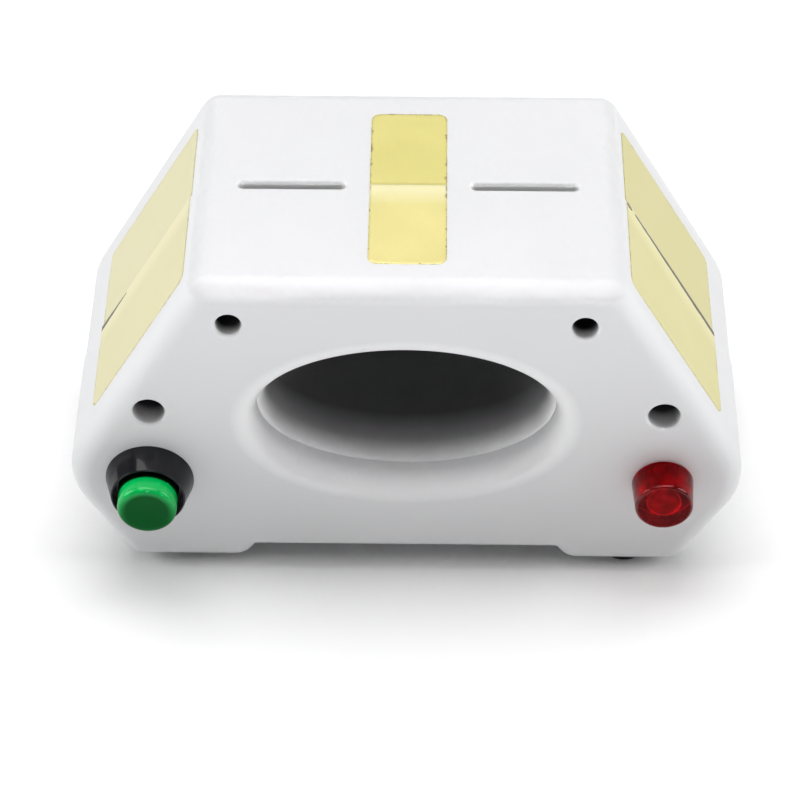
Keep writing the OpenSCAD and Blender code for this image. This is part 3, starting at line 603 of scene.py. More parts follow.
dress(wound_copper(), "coil_winding")
dress(plain_finish("winding_tape", (0.75, 0.50, 0.10), (0.62, 0.38, 0.06), 0.35, Coat_Weight=0.3),
      "coil_tape")
dress(plain_finish("natural_nylon", (0.68, 0.67, 0.62), (0.60, 0.59, 0.54), 0.45),
      "lamp_socket", "button_stem", "terminal_block")
brass = plain_finish("contact_brass", (0.78, 0.58, 0.24), (0.66, 0.46, 0.17), 0.32, 1.0)
dress(brass, "contact_bridge", "switch_terminals", "terminal_inserts")
zinc = plain_finish("zinc_steel", (0.62, 0.63, 0.65), (0.50, 0.51, 0.53), 0.35, 1.0)
dress(zinc, "switch_nut", "terminal_screws", "block_screw")
dress(plain_finish("insulating_board", (0.20, 0.07, 0.03), (0.14, 0.05, 0.02), 0.55), "switch_base")
dress(plain_finish("resistor_body", (0.28, 0.48, 0.52), (0.22, 0.40, 0.44), 0.4), "lamp_resistor")
dress(plain_finish("red_insulation", (0.50, 0.02, 0.01), (0.40, 0.01, 0.01), 0.4), "switch_wire")
dress(plain_finish("black_insulation", (0.02, 0.02, 0.02), (0.012, 0.012, 0.012), 0.4), "coil_wires")
dress(plain_finish("blue_insulation", (0.01, 0.05, 0.38), (0.01, 0.04, 0.28), 0.4), "lamp_wires")
black_plastic = plain_finish("black_plastic", (0.008, 0.008, 0.011), (0.003, 0.003, 0.005), 0.30,
                             size=0.003, Specular_IOR_Level=0.12, Coat_Weight=0.35, Coat_Roughness=0.06)
dress(black_plastic, "lamp_nut")
dress(plain_finish("bulb_glass", (0.9, 0.8, 0.75), (0.85, 0.72, 0.66), 0.12, Transmission_Weight=0.7),
      "neon_bulb")


# Case screws
# Zinc plated pan head screws with a cross recess, one at the bottom of each deep socket, that pull
# the rear shell's bosses against the front shell.

SCREW_L = 16.0
SCREW_TIP = 0.4
UPPER_SHANK_R = 1.5
LOWER_SHANK_R = 1.75
HEAD_H = 2.4
HEAD_PLAY = 0.15
HEAD_FLAT = 0.35
DOME_H = 0.55
DOME_IN = 0.45
CROSS_L = 0.6
CROSS_W = 0.13
CROSS_FLOOR = 0.4


def turned(bm, profile, x, y, z, forward=1, steps=64, hoop=False):
    """A turned solid about an axis along Y; the profile's points are (distance along Y, radius)."""
    rings = []
    for along, r in profile:
        rings.append([placed(x + r * math.cos(a), y + forward * along, z + r * math.sin(a))
                      for a in (2 * math.pi * i / steps for i in range(steps))])
    skin(bm, rings, hoop)


def copies_tree():
    """Sets copies of the piece's own mesh on a grid across X and Y; the first can stand further back."""
    tree = bpy.data.node_groups.new("spaced_copies", "GeometryNodeTree")
    ports = tree.interface
    ports.new_socket("Piece", in_out="INPUT", socket_type="NodeSocketGeometry")
    for label in ("Spacing X", "Spacing Y", "First Back"):
        ports.new_socket(label, in_out="INPUT", socket_type="NodeSocketFloat")
    for label in ("Count X", "Count Y"):
        ports.new_socket(label, in_out="INPUT", socket_type="NodeSocketInt")
    ports.new_socket("Finish", in_out="INPUT", socket_type="NodeSocketMaterial")
    ports.new_socket("Copies", in_out="OUTPUT", socket_type="NodeSocketGeometry")
    start = tree.nodes.new("NodeGroupInput")
    grid = tree.nodes.new("GeometryNodeMeshGrid")
    index = tree.nodes.new("GeometryNodeInputIndex")
    is_first = tree.nodes.new("FunctionNodeCompare")
    is_first.data_type = "INT"
    is_first.operation = "EQUAL"
    offset = tree.nodes.new("ShaderNodeCombineXYZ")
    shift = tree.nodes.new("GeometryNodeSetPosition")
    spread = tree.nodes.new("GeometryNodeInstanceOnPoints")
    whole = tree.nodes.new("GeometryNodeRealizeInstances")
    coat = tree.nodes.new("GeometryNodeSetMaterial")
    end = tree.nodes.new("NodeGroupOutput")
    for source, target in (
        (start.outputs["Spacing X"], grid.inputs["Size X"]),
        (start.outputs["Spacing Y"], grid.inputs["Size Y"]),
        (start.outputs["Count X"], grid.inputs["Vertices X"]),
        (start.outputs["Count Y"], grid.inputs["Vertices Y"]),
        (index.outputs["Index"], is_first.inputs[2]),
        (start.outputs["First Back"], offset.inputs["Y"]),
        (grid.outputs["Mesh"], shift.inputs["Geometry"]),
        (is_first.outputs["Result"], shift.inputs["Selection"]),
        (offset.outputs["Vector"], shift.inputs["Offset"]),
        (shift.outputs["Geometry"], spread.inputs["Points"]),
        (start.outputs["Piece"], spread.inputs["Instance"]),
        (spread.outputs["Instances"], whole.inputs["Geometry"]),
        (whole.outputs["Geometry"], coat.inputs["Geometry"]),
        (start.outputs["Finish"], coat.inputs["Material"]),
        (coat.outputs["Geometry"], end.inputs["Copies"]),
    ):
        tree.links.new(source, target)
    return tree


spaced_copies = copies_tree()


def copy_out(piece, spacing, counts, finish, first_back=0.0):
    """Runs the copies tree on a piece and keeps the result as plain mesh."""
    spread = piece.modifiers.new("copies", "NODES")
    spread.node_group = spaced_copies
    values = {"Spacing X": spacing[0], "Spacing Y": spacing[1], "First Back": first_back,
              "Count X": counts[0], "Count Y": counts[1], "Finish": finish}
    for item in spaced_copies.interface.items_tree:
        if item.name in values and item.in_out == "INPUT":
            spread[item.identifier] = values[item.name]
    settle(piece)


def screw_pair(name, hole, shank_r, node):
    """Two equal screws, left and right; the head's proportions are shares of its height or radius."""
    x, z, hole_r = hole
    head_r = hole_r - HEAD_PLAY
    seat = FACE_Y + SOCKET_DEPTH

    def body(bm):
        turns = [math.pi / 2 * (0.15 + 0.85 * i / 7) for i in range(8)]
        head = [(-HEAD_H, HEAD_FLAT * head_r)]
        head += [(-HEAD_H * (1 - DOME_H + DOME_H * math.cos(a)),
                  head_r * (1 - DOME_IN + DOME_IN * math.sin(a))) for a in turns]
        shank = [(0.0, head_r), (0.0, shank_r), (SCREW_L - shank_r, shank_r),
                 (SCREW_L, SCREW_TIP * shank_r)]
        turned(bm, head + shank, 0, seat, z)

    def cross(bm):
        for wide, tall in ((CROSS_L, CROSS_W), (CROSS_W, CROSS_L)):
            ring = [(-wide * head_r, -tall * head_r), (wide * head_r, -tall * head_r),
                    (wide * head_r, tall * head_r), (-wide * head_r, tall * head_r)]
            skin(bm, [[placed(px, seat + y, z + pz) for px, pz in ring]
                      for y in (-HEAD_H - CLEAR, -HEAD_H * CROSS_FLOOR)])

    pair = solid(name, body)
    carve(pair, "DIFFERENCE", solid("cross", cross), crossing=True)
    polish(pair)
    copy_out(pair, (2 * x * MM, 0.0), (2, 1), zinc)
    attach(pair, "case")
    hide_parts(node)


screw_pair("upper_screw_pair", UPPER_HOLE, UPPER_SHANK_R, "upper_case_screws")
screw_pair("lower_screw_pair", LOWER_HOLE, LOWER_SHANK_R, "lower_case_screws")


# Rubber feet
# Moulded black rubber pads with a rounded edge, glued into shallow pockets under the foot bars.

FOOT_PROUD = 2.0
FOOT_EDGE_R = 0.6


def shoulder(end, radius, r, steps):
    """Profile points of the round edge between a body's end and its side of a radius."""
    turns = [math.pi / 2 * i / steps for i in range(steps + 1)]
    return [(end + r - r * math.cos(a), radius - r + r * math.sin(a)) for a in turns]


def foot_pad(bm):
    """A pad about the vertical, from its underside up into the pocket."""
    profile = shoulder(-FOOT_PROUD, FOOT_R, FOOT_EDGE_R, 5) + [(FOOT_SUNK, FOOT_R)]
    turns = [2 * math.pi * i / 64 for i in range(64)]
    skin(bm, [[placed(r * math.cos(a), r * math.sin(a), z) for a in turns] for z, r in profile])


rubber = plain_finish("foot_rubber", (0.030, 0.030, 0.032), (0.018, 0.018, 0.020), 0.68, size=0.0015,
                      depth=0.00004)
pads = solid("rubber_foot_pads", foot_pad)
polish(pads)
copy_out(pads, (2 * FOOT_X * MM, 2 * FOOT_Y * MM), (2, 2), rubber, LEFT_FOOT_BACK * MM)
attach(pads, "case")
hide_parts("rubber_feet")


# Foil labels
# Thin metallised film with a champagne-gold face, stuck across the parting line on the top and on
# both slopes. The film steps down with the rear shell, and its cut edges have crinkled and browned.

LABEL_T = 0.15
LABEL_LIFT = 0.012
LABEL_R = 2.2
TOP_LABEL_W = 17.0
TOP_LABEL_FRONT = 27.2
TOP_LABEL_BACK = 25.9
SIDE_LABEL_DROP = 1.5
SIDE_LABEL_L = 44.0
SIDE_LABEL_FRONT = 28.0
SIDE_LABEL_BACK = 26.0
LABEL_CELL = 0.5
STEP_START = -0.2
STEP_RUN = 0.9
CRINKLE_REACH = 0.9
SWELL = 0.020
SPLIT_AHEAD = 0.75


def ripple(u, v, seed):
    """A smooth, repeatable ripple between -1 and 1."""
    total = 0.0
    for k in range(1, 5):
        total += math.sin(u * (0.55 + 0.83 * k) + seed * 1.7 * k) * math.cos(
            v * (0.47 + 0.71 * k) - seed * 2.3 * k) / k
    return total / 1.6


def label_sheet(name, node, lay, u_ends, v_ends, seed, foil):
    """A thin sheet over a rounded rectangle; lay(u, v, height) gives its points in the case's frame.
    u runs across the top or down a slope, and v backwards from the parting line."""
    u_low, u_high = u_ends
    v_low, v_high = v_ends
    columns = round((u_high - u_low) / LABEL_CELL)
    rows = round((v_high - v_low) / LABEL_CELL)
    middle_u, middle_v = (u_low + u_high) / 2, (v_low + v_high) / 2
    half_u, half_v = (u_high - u_low) / 2, (v_high - v_low) / 2

    def inward(u, v):
        """Distance in from the label's rounded outline."""
        du, dv = abs(u - middle_u) - half_u + LABEL_R, abs(v - middle_v) - half_v + LABEL_R
        return LABEL_R - math.hypot(max(du, 0), max(dv, 0)) - min(max(du, dv), 0)

    def squeeze(u, v):
        """Pulls a grid point of the square corners onto the rounded outline."""
        du, dv = u - middle_u, v - middle_v
        cu, cv = abs(du) - half_u + LABEL_R, abs(dv) - half_v + LABEL_R
        if cu > 0 and cv > 0:
            reach = max(cu, cv)
            length = math.hypot(cu, cv)
            cu, cv = cu * reach / length, cv * reach / length
            du = math.copysign(half_u - LABEL_R + cu, du)
            dv = math.copysign(half_v - LABEL_R + cv, dv)
        return middle_u + du, middle_v + dv

    def drop(v):
        """The film's step down behind the parting line, in mm."""
        t = min(max((v - STEP_START) / STEP_RUN, 0.0), 1.0)
        return REAR_STEP * t * t * (3 - 2 * t)

    def film_top(u, v):
        """Height of the film's face over its back: half its thickness, rippled most near its edge."""
        near_edge = math.exp(-max(inward(u, v), 0) / CRINKLE_REACH)
        height = LABEL_T * (0.5 + 0.3 * near_edge * ripple(u * 2.1, v * 2.1, seed))
        return height + SWELL * ripple(u * 0.35, v * 0.35, seed + 4)

    bm = bmesh.new()
    inward_layer = bm.verts.layers.float.new("inward")
    down_layer = bm.verts.layers.float.new("down")
    behind_layer = bm.verts.layers.float.new("behind")
    grids = []
    for level in (0, 1):
        grid = []
        for j in range(rows + 1):
            line = []
            for i in range(columns + 1):
                u, v = squeeze(u_low + (u_high - u_low) * i / columns,
                               v_low + (v_high - v_low) * j / rows)
                height = film_top(u, v) if level else 0.0
                vert = bm.verts.new(placed(*lay(u, v, height - drop(v) + LABEL_LIFT)))
                vert[inward_layer] = inward(u, v)
                vert[down_layer] = u
                vert[behind_layer] = v
                line.append(vert)
            grid.append(line)
        grids.append(grid)
    back, face = grids
    faces = []
    for j in range(rows):
        for i in range(columns):
            for grid in grids:
                corners = (grid[j][i], grid[j][i + 1], grid[j + 1][i + 1], grid[j + 1][i])
                faces.append(bm.faces.new(corners))
    border = [(0, i) for i in range(columns)] + [(j, columns) for j in range(rows)]
    border += [(rows, i) for i in range(columns, 0, -1)] + [(j, 0) for j in range(rows, 0, -1)]
    for (j, i), (m, k) in zip(border, border[1:] + border[:1]):
        faces.append(bm.faces.new((back[j][i], back[m][k], face[m][k], face[j][i])))
    bmesh.ops.recalc_face_normals(bm, faces=faces)
    for film_face in bm.faces:
        film_face.smooth = True
    mesh = bpy.data.meshes.new(name)
    bm.to_mesh(mesh)
    bm.free()
    sheet = bpy.data.objects.new(name, mesh)
    bpy.context.scene.collection.objects.link(sheet)
    sheet.data.materials.append(foil)
    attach(sheet, "case")
    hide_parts(node)


def foil_finish(name, seed, tones, painted_highlight, wear, splits=()):
    """Champagne-gold film: tones are its colour before and behind the parting line, painted lighter
    and darker there as the two halves catch the light, and in its clouds. It has a painted highlight in
    a band before the line, is browned at its edges and can be split along the line, each split painted
    near black as the shade in it. A split is (start, end, width at its start, width at its end),
    measured down the slope in mm."""
    finish = Finish(name)
    at = finish.node("ShaderNodeMapping", {}, {"Vector": finish.place(), "Location": (seed, seed, 0)})
    inward = finish.stored("inward")
    down = finish.stored("down")
    behind = finish.stored("behind")
    crinkle = finish.noise(0.0022, 4.0, 0.65, at)
    cloud = finish.noise(0.012, 3.0, 0.5, at)
    # Painted light and shade: the halves before and behind the parting line take different tones.
    painted_half_light = finish.clamp(behind, -0.3, 0.3)
    face = finish.blend(painted_half_light, (*tones[0], 1), (*tones[1], 1))
    # Painted highlight in a band before the parting line.
    highlight_band = finish.clamp(behind, -7.0, -2.0) * finish.clamp(behind, 0.2, -0.2)
    face = finish.blend(painted_highlight * highlight_band, face, (0.97, 0.92, 0.64, 1))
    face = finish.blend(0.25 * cloud, face, (*tones[2], 1))
    worn = finish.clamp(inward + 4.0 * finish.noise(0.003, 4.0, 0.7, at), 2.15, 1.75)
    face = finish.blend(wear * worn, face, (0.33, 0.23, 0.08, 1))
    for start, end, thin, wide in splits:
        reach = finish.clamp(down, start, start + 0.8) * finish.clamp(down, end + 0.6, end)
        width = thin + (wide - thin) * finish.clamp(down, start, end)
        off = (behind + SPLIT_AHEAD + 0.6 * (crinkle - 0.5)).absolute()
        # A split in the film, painted near black as the shade inside it.
        split_shade = off.below(width * reach)
        face = finish.blend(0.92 * split_shade, face, (0.030, 0.028, 0.022, 1))
    fold = finish.noise(0.005, 5.0, 0.7, at)
    finish.surface(
        Base_Color=face,
        Metallic=0.35,
        Roughness=0.34 + 0.2 * cloud + 0.15 * worn,
        Normal=finish.relief(fold + 1.5 * crinkle * finish.clamp(inward, 2.5, 0.0), 0.00012, 0.35))
    return finish.material


def on_slope(side):
    """Lays a sheet on the slope at one side: u runs down it from the top of its flat."""
    facing_a = facing(TOP_CORNER, WIDE_CORNER)
    top_x = TOP_CORNER[0] + CORNER_R * math.cos(facing_a)
    top_z = TOP_CORNER[1] + CORNER_R * math.sin(facing_a)

    def lay(u, v, height):
        x = top_x + u * math.sin(facing_a) + height * math.cos(facing_a)
        z = top_z - u * math.cos(facing_a) + height * math.sin(facing_a)
        return side * x, v, z

    return lay


# Each label's colour before and behind the parting line, painted lighter and darker as the two halves
# catch the light, then the colour of its clouds.
TOP_TONES = ((0.83, 0.745, 0.30), (0.775, 0.70, 0.245), (0.86, 0.79, 0.37))
LEFT_TONES = ((0.69, 0.65, 0.375), (0.69, 0.655, 0.40), (0.75, 0.72, 0.48))
RIGHT_TONES = ((0.67, 0.62, 0.295), (0.64, 0.59, 0.275), (0.72, 0.68, 0.38))
# Splits along the parting line, each painted near black as the shade inside it.
LEFT_SPLITS = ((32.5, 45.5, 0.15, 1.05),)
RIGHT_SPLITS = ((1.5, 3.6, 0.90, 0.60), (5.2, 45.5, 0.45, 0.90))
TOP_SEED, LEFT_SEED, RIGHT_SEED = 1.0, 2.0, 4.0

top_foil = foil_finish("top_foil_label_foil", TOP_SEED, TOP_TONES, 0.7, 0.8)
label_sheet("top_foil_label", "top_label", lambda u, v, height: (u, v, CASE_H + height),
            (-TOP_LABEL_W / 2, TOP_LABEL_W / 2), (-TOP_LABEL_FRONT, TOP_LABEL_BACK), TOP_SEED, top_foil)
for slope_side, label_node, label_seed, label_tones, label_splits in (
    (-1, "left_label", LEFT_SEED, LEFT_TONES, LEFT_SPLITS),
    (1, "right_label", RIGHT_SEED, RIGHT_TONES, RIGHT_SPLITS),
):
    sheet_name = label_node.replace("_label", "_foil_label")
    side_foil = foil_finish(sheet_name + "_foil", label_seed, label_tones, 0.3, 0.35, label_splits)
    label_sheet(sheet_name, label_node, on_slope(slope_side),
                (SIDE_LABEL_DROP, SIDE_LABEL_DROP + SIDE_LABEL_L), (-SIDE_LABEL_FRONT, SIDE_LABEL_BACK),
                label_seed, side_foil)


# Push button
# A momentary push button: a tall glossy black bezel on a threaded barrel, held by a nut behind the
# panel, and a green cap that stands out of it and slides in against a spring.

BEZEL_BASE_R = 9.85
BEZEL_RIM_R = 8.3
BEZEL_H = 6.2
BEZEL_RIM_T = 0.5
BEZEL_WELL = 3.0
BEZEL_EDGE_R = 0.22
BEZEL_BEVEL = 0.1
BARREL_L = 18.0
BARREL_BORE_R = 6.3
THREAD_H = 0.35
THREAD_RIDGES = 14
SEAT_FRONT = 2.2
SEAT_BACK = 5.2
STEM_HOLE_R = 2.55
CAP_R = 6.6
CAP_GAP = 0.2
CAP_PROUD = 10.8
CAP_L = 9.5
CAP_SKIN = 3.0
CAP_WALL = 1.5
CAP_EDGE_R = 1.3
CAP_DISH = 0.35
STEM_SOCKET_R = 1.5
TIP_R = 0.05
# Width, blend and least share of the painted light round the cap's rim.
PAINTED_LIT_BAND = 1.9
PAINTED_LIT_BLEND = 1.5
PAINTED_LIT_LEAST = 0.08


def bezel_solid(bm):
    """A turned hoop with a deep well round the cap, a rolled rim and a threaded barrel."""
    bore = CAP_R + CAP_GAP
    well = BEZEL_RIM_R - BEZEL_RIM_T
    core = BARREL_R - THREAD_H
    profile = [(-BEZEL_H, well + BEZEL_BEVEL)] + shoulder(-BEZEL_H, BEZEL_RIM_R, BEZEL_EDGE_R, 6)
    profile += [(-0.5, BEZEL_BASE_R - 0.12), (-0.15, BEZEL_BASE_R), (0.0, BEZEL_BASE_R)]
    profile += [(0.0, BARREL_R), (WALL, BARREL_R)]
    for ridge in range(THREAD_RIDGES):
        profile += [(WALL + ridge, core), (WALL + 0.5 + ridge, BARREL_R)]
    profile += [(WALL + THREAD_RIDGES, core), (BARREL_L, core)]
    profile += [(BARREL_L, BARREL_BORE_R), (SEAT_BACK, BARREL_BORE_R), (SEAT_BACK, STEM_HOLE_R),
                (SEAT_FRONT, STEM_HOLE_R), (SEAT_FRONT, bore), (-BEZEL_H + BEZEL_WELL, bore),
                (-BEZEL_H + BEZEL_WELL, well), (-BEZEL_H + BEZEL_BEVEL, well)]
    turned(bm, profile, BUTTON_X, FACE_Y, PANEL_Z, steps=96, hoop=True)


bezel = solid("switch_bezel_skin", bezel_solid)
polish(bezel)
bezel.data.materials.append(black_plastic)
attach(bezel, "case")
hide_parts("switch_bezel")


def cap_solid(bm):
    """A cup with a dished front, a round shoulder and a socket for the stem."""
    front_y, bore = -CAP_PROUD, CAP_R - CAP_WALL
    profile = [(front_y + CAP_DISH, TIP_R)]
    profile += [(front_y + CAP_DISH * (1 - t * t * (3 - 2 * t)), (CAP_R - CAP_EDGE_R) * t)
                for t in (i / 8 for i in range(1, 9))]
    profile += shoulder(front_y, CAP_R, CAP_EDGE_R, 8)[1:]
    profile += [(-BEZEL_H - 0.5, CAP_R), (-BEZEL_H, CAP_R), (front_y + CAP_L, CAP_R),
                (front_y + CAP_L, bore), (front_y + CAP_SKIN, bore), (front_y + CAP_SKIN, STEM_SOCKET_R),
                (front_y + CAP_SKIN / 2, STEM_SOCKET_R), (front_y + CAP_SKIN / 2, TIP_R)]
    turned(bm, profile, BUTTON_X, FACE_Y, PANEL_Z, steps=96)


def mark_cap_light_and_shade(piece):
    """Stores painted light and shade at each point: 0 to 1 on the front, highest round the edge and
    at the top where light falls, and -1 inside the bezel, where it marks painted shade."""
    rim = piece.data.attributes.new("rim", "FLOAT", "POINT")
    for index, vert in enumerate(piece.data.vertices):
        above = (vert.co.z - base_z) / MM - PANEL_Z
        out = math.hypot(vert.co.x / MM - BUTTON_X, above)
        ahead = FACE_Y - BEZEL_H - (vert.co.y - seam_y) / MM
        lit_share = min(max((out - CAP_R + PAINTED_LIT_BAND) / PAINTED_LIT_BLEND, 0.0), 1.0)
        lit_share *= min(max(0.5 + 0.9 * above / CAP_R, PAINTED_LIT_LEAST), 1.0)
        rim.data[index].value = lit_share if ahead > 0.1 else -1.0


def green_finish():
    """Glossy green plastic with painted light and shade: bright round the upper rim, painted darker in
    the dish and low down, and near black inside the bezel.
    """
    finish = Finish("green_plastic")
    mottle = finish.noise(0.004, 4.0, 0.6)
    rim = finish.stored("rim")
    painted_shade_green = finish.blend(mottle, (0.001, 0.100, 0.018, 1), (0.001, 0.085, 0.014, 1))
    bright = finish.blend(mottle, (0.001, 0.50, 0.100, 1), (0.001, 0.45, 0.085, 1))
    # Painted shade: near black where the cap runs inside the bezel, dark green in the dish.
    thin = finish.blend(finish.clamp(rim, -1.0, 0.0), (0.001, 0.012, 0.004, 1), painted_shade_green)
    finish.surface(
        Base_Color=finish.blend(finish.clamp(rim, 0.0, 1.0), thin, bright),
        Roughness=0.26 + 0.08 * mottle,
        Specular_IOR_Level=0.05,
        Coat_Weight=0.55 * finish.clamp(rim, 0.0, 1.0),
        Coat_IOR=1.6,
        Coat_Roughness=0.06)
    return finish.material


cap = solid("button_cap_skin", cap_solid)
polish(cap)
mark_cap_light_and_shade(cap)
cap.data.materials.append(green_finish())
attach(cap, "push_button")
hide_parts("button_cap")


# Return spring
# A steel compression spring between the bezel's seat and the cap, made at its length with the cap out.

SPRING_R = 3.95
WIRE_R = 0.35
SPRING_TURNS = 6
SPRING_GAP = 0.1
SPRING_FRONT = -CAP_PROUD + CAP_SKIN + SPRING_GAP
SPRING_BACK = SEAT_FRONT - SPRING_GAP


def spring_solid(bm):
    """A round wire on a helix about the button's axis."""
    rings = []
    steps = 24 * SPRING_TURNS
    start_y, end_y = SPRING_FRONT + WIRE_R, SPRING_BACK - WIRE_R
    for step in range(steps + 1):
        turned_by = 2 * math.pi * SPRING_TURNS * step / steps
        y = FACE_Y + start_y + (end_y - start_y) * step / steps
        ring = []
        for k in range(8):
            a = 2 * math.pi * k / 8
            r = SPRING_R + WIRE_R * math.cos(a)
            ring.append(placed(BUTTON_X + r * math.cos(turned_by), y + WIRE_R * math.sin(a),
                               PANEL_Z + r * math.sin(turned_by)))
        rings.append(ring)
    skin(bm, rings)


spring = solid("return_spring_coil", spring_solid)
polish(spring, 60.0)
spring.data.materials.append(
    plain_finish("spring_steel", (0.58, 0.58, 0.60), (0.48, 0.48, 0.50), 0.25, 1.0))
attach(spring, "case")
placed(BUTTON_X, FACE_Y + SPRING_BACK, PANEL_Z)
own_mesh(spring)
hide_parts("return_spring")


# Indicator lamp
# A clear red lens with a deep bore, moulded in one piece with the spigot that goes through the panel.
# A neon bulb stands inside it.

LENS_BASE_R = 6.9
LENS_FRONT_R = 6.45
LENS_PROUD = 8.0
LENS_EDGE_R = 0.7
LENS_BEVEL = 0.3
LENS_BORE_R = 4.0
LENS_SKIN = 1.6
LENS_DOME_H = 1.2
LENS_DOME_IN = 0.45
LENS_EDGE_BAND = 0.6
SPIGOT_L = 12.0


def lens_solid(bm):
    """A turned solid from the middle of its front out and back, then in along the domed bore."""
    dome_y = -LENS_PROUD + LENS_SKIN + LENS_DOME_H
    turns = [math.pi / 2 * i / 5 for i in range(1, 6)]
    outside = [(-LENS_PROUD, TIP_R)] + shoulder(-LENS_PROUD, LENS_FRONT_R, LENS_EDGE_R, 6)
    outside += [(-LENS_BEVEL, LENS_BASE_R - 0.02), (0.0, LENS_BASE_R - LENS_BEVEL), (0.0, SPIGOT_R),
                (SPIGOT_L, SPIGOT_R), (SPIGOT_L, LENS_BORE_R)]
    bore = [(dome_y, LENS_BORE_R)]
    bore += [(dome_y - LENS_DOME_H * math.sin(a),
              LENS_BORE_R * (1 - LENS_DOME_IN + LENS_DOME_IN * math.cos(a))) for a in turns]
    bore += [(-LENS_PROUD + LENS_SKIN, TIP_R)]
    turned(bm, outside + bore, LAMP_X, FACE_Y, PANEL_Z, steps=96)


def mark_edge(piece):
    """Stores 1 at the points of the lens's rounded front edge, where the coat is."""
    front_edge = piece.data.attributes.new("edge", "FLOAT", "POINT")
    for index, vert in enumerate(piece.data.vertices):
        out = math.hypot(vert.co.x / MM - LAMP_X, (vert.co.z - base_z) / MM - PANEL_Z)
        proud = FACE_Y - (vert.co.y - seam_y) / MM
        at_edge = out > LENS_FRONT_R - LENS_EDGE_BAND and proud > LENS_PROUD - LENS_EDGE_BAND
        front_edge.data[index].value = 1.0 if at_edge else 0.0


def red_lens_finish():
    """Clear red plastic with dark and bright clouds painted in as the shade and light of the parts
    inside it, glossiest round its front edge.
    """
    finish = Finish("red_lens")
    cloud = finish.clamp(finish.noise(0.0028, 3.0), 0.36, 0.62)
    edge = finish.stored("edge")
    # Painted shade and light: mottled dark and bright red for the parts seen through the lens.
    finish.surface(
        Base_Color=finish.blend(cloud, (0.92, 0.001, 0.006, 1), (0.32, 0.0005, 0.002, 1)),
        Roughness=0.04 + 0.06 * cloud,
        Transmission_Weight=0.85,
        IOR=1.33,
        Specular_Tint=(1.0, 0.02, 0.04, 1),
        Coat_Weight=0.8 * edge,
        Coat_Roughness=0.05)
    return finish.material


lens = solid("lamp_lens_skin", lens_solid)
polish(lens)
mark_edge(lens)
lens.data.materials.append(red_lens_finish())
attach(lens, "case")
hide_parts("lamp_lens")


# Cord gland
# A plain black rubber grommet low on the back, where the mains cord goes in.

GLAND_R = 6.5
GLAND_BORE_R = 3.1
GLAND_PROUD = 3.5
GLAND_EDGE_R = 1.2
GLAND_BEVEL = 0.4
GLAND_NECK_R = 4.8
GLAND_FLANGE_R = 6.0
GLAND_TAPER = 0.4
GLAND_BACK = 4.5


def gland_solid(bm):
    """A turned hoop with a neck in the case's wall and a slightly tapered flange behind it."""
    profile = [(-GLAND_PROUD, GLAND_BORE_R + GLAND_BEVEL)]
    profile += shoulder(-GLAND_PROUD, GLAND_R, GLAND_EDGE_R, 6)
    profile += [(0.0, GLAND_R), (0.0, GLAND_NECK_R), (WALL, GLAND_NECK_R), (WALL, GLAND_FLANGE_R),
                (GLAND_BACK, GLAND_FLANGE_R - GLAND_TAPER), (GLAND_BACK, GLAND_BORE_R),
                (-GLAND_PROUD + GLAND_BEVEL, GLAND_BORE_R)]
    turned(bm, profile, LAMP_X, CASE_D / 2, PANEL_Z, forward=-1, hoop=True)


gland = solid("cord_gland_skin", gland_solid)
polish(gland)
gland.data.materials.append(rubber)
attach(gland, "case")
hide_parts("cord_gland")


# Floor
# A plain white tabletop under the case, that glows far away from it, so it stays pale out there.


def floor_finish():
    """Matt white, with a glow that grows with the distance from the case."""
    finish = Finish("tabletop")
    cloud = finish.noise(0.3, 2.0)
    away = finish.node("ShaderNodeVectorMath", {"operation": "LENGTH"}, {0: finish.place()}, out="Value")
    finish.surface(
        Base_Color=finish.blend(cloud, (0.98, 0.98, 0.98, 1), (0.96, 0.96, 0.96, 1)),
        Roughness=0.6,
        Emission_Color=finish.blend(finish.clamp(away, 0.4, 1.3), (0, 0, 0, 1), (1, 1, 1, 1)),
        Emission_Strength=0.9)
    return finish.material


FLOOR_SIZE = 12.0
bpy.ops.mesh.primitive_plane_add(size=FLOOR_SIZE, location=(0.0, 0.0, 0.0))
floor = bpy.context.object
floor.name = "tabletop"
floor.data.materials.append(floor_finish())


# Lights
# Two large soft boxes overhead, one at each side, a long narrow one in front that is aimed at the top
# edge of the front, and a pale surround.

world = bpy.data.worlds.new("surround")
bpy.context.scene.world = world
world.use_nodes = True
world.node_tree.nodes["Background"].inputs["Color"].default_value = (1.0, 1.0, 1.0, 1)
world.node_tree.nodes["Background"].inputs["Strength"].default_value = 0.08


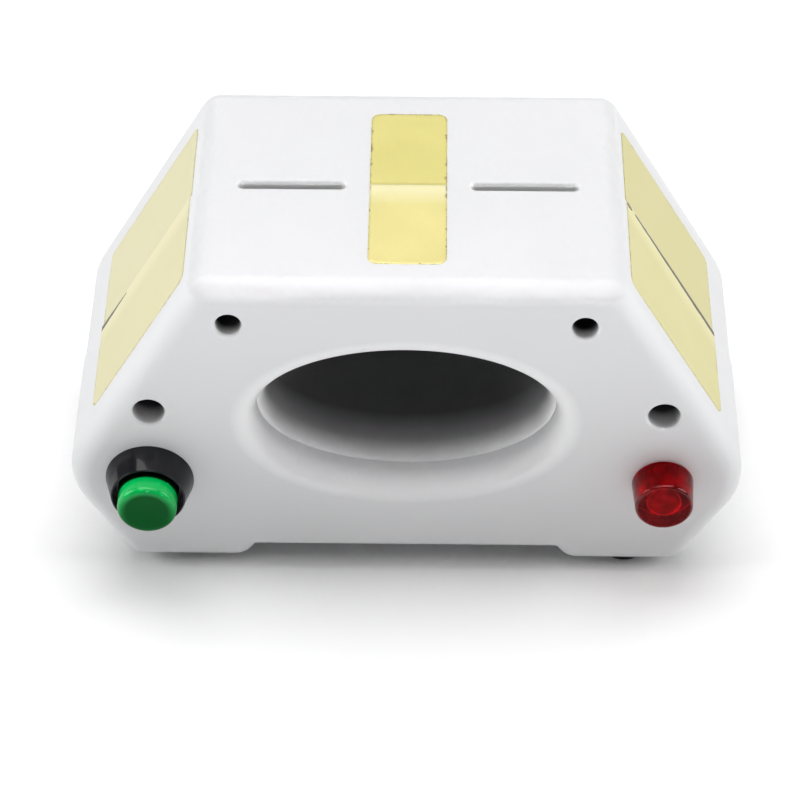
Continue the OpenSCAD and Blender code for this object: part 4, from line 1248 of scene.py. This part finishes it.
def soft_box(name, place, target, size, power, spread=180.0):
    """An area light at a place in metres, turned to a target; power in watts, spread in degrees."""
    light = bpy.data.lights.new(name, "AREA")
    light.shape = "RECTANGLE"
    light.size, light.size_y = size
    light.energy = power
    light.spread = math.radians(spread)
    lamp = bpy.data.objects.new(name, light)
    lamp.location = place
    lamp.rotation_euler = (Vector(target) - Vector(place)).to_track_quat("-Z", "Y").to_euler()
    bpy.context.scene.collection.objects.link(lamp)


CASE_MIDDLE = (0.0, 0.0, 0.04)
soft_box("overhead_box", (0.0, 0.26, 1.25), CASE_MIDDLE, (1.5, 0.8), 13.6)
soft_box("forward_box", (0.0, -0.30, 1.25), CASE_MIDDLE, (1.5, 0.8), 3.0)
soft_box("left_box", (-1.0, -0.05, 0.5), CASE_MIDDLE, (0.6, 0.6), 4.6)
soft_box("right_box", (1.0, -0.05, 0.5), CASE_MIDDLE, (0.6, 0.6), 4.6)
soft_box("front_strip", (0.0, -1.10, 0.55), (0.0, -0.03, 0.08), (0.6, 0.05), 0.057, 7.0)

bpy.context.scene.view_settings.view_transform = "Standard"
bpy.context.scene.view_settings.look = "None"


# Camera
# Looks down at the front from 42 degrees, as the photograph does. The angles are in radians, and its
# place is in mm in the case's own frame.

FOCAL_PX = 3224.99
FRAME_PX = 800
SENSOR_W = 36.0
PITCH = 0.73661
YAW = -0.011401
ROLL = 0.001527
CAMERA_AT = (4.566, -556.863, 522.710)

sight = Vector((math.sin(YAW) * math.cos(PITCH), math.cos(YAW) * math.cos(PITCH), -math.sin(PITCH)))
level_right = sight.cross(Vector((0, 0, 1))).normalized()
level_up = level_right.cross(sight)
frame_right = math.cos(ROLL) * level_right + math.sin(ROLL) * level_up
frame_up = -math.sin(ROLL) * level_right + math.cos(ROLL) * level_up
camera = bpy.data.cameras.new("camera")
camera.sensor_width = SENSOR_W
camera.lens = SENSOR_W * FOCAL_PX / FRAME_PX
camera.clip_start = 0.01
camera.clip_end = 50.0
viewer = bpy.data.objects.new("camera", camera)
camera_turn = Matrix((frame_right, frame_up, -sight)).transposed().to_4x4()
viewer.matrix_world = Matrix.Translation(placed(*CAMERA_AT)) @ camera_turn
bpy.context.scene.collection.objects.link(viewer)
bpy.context.scene.camera = viewer
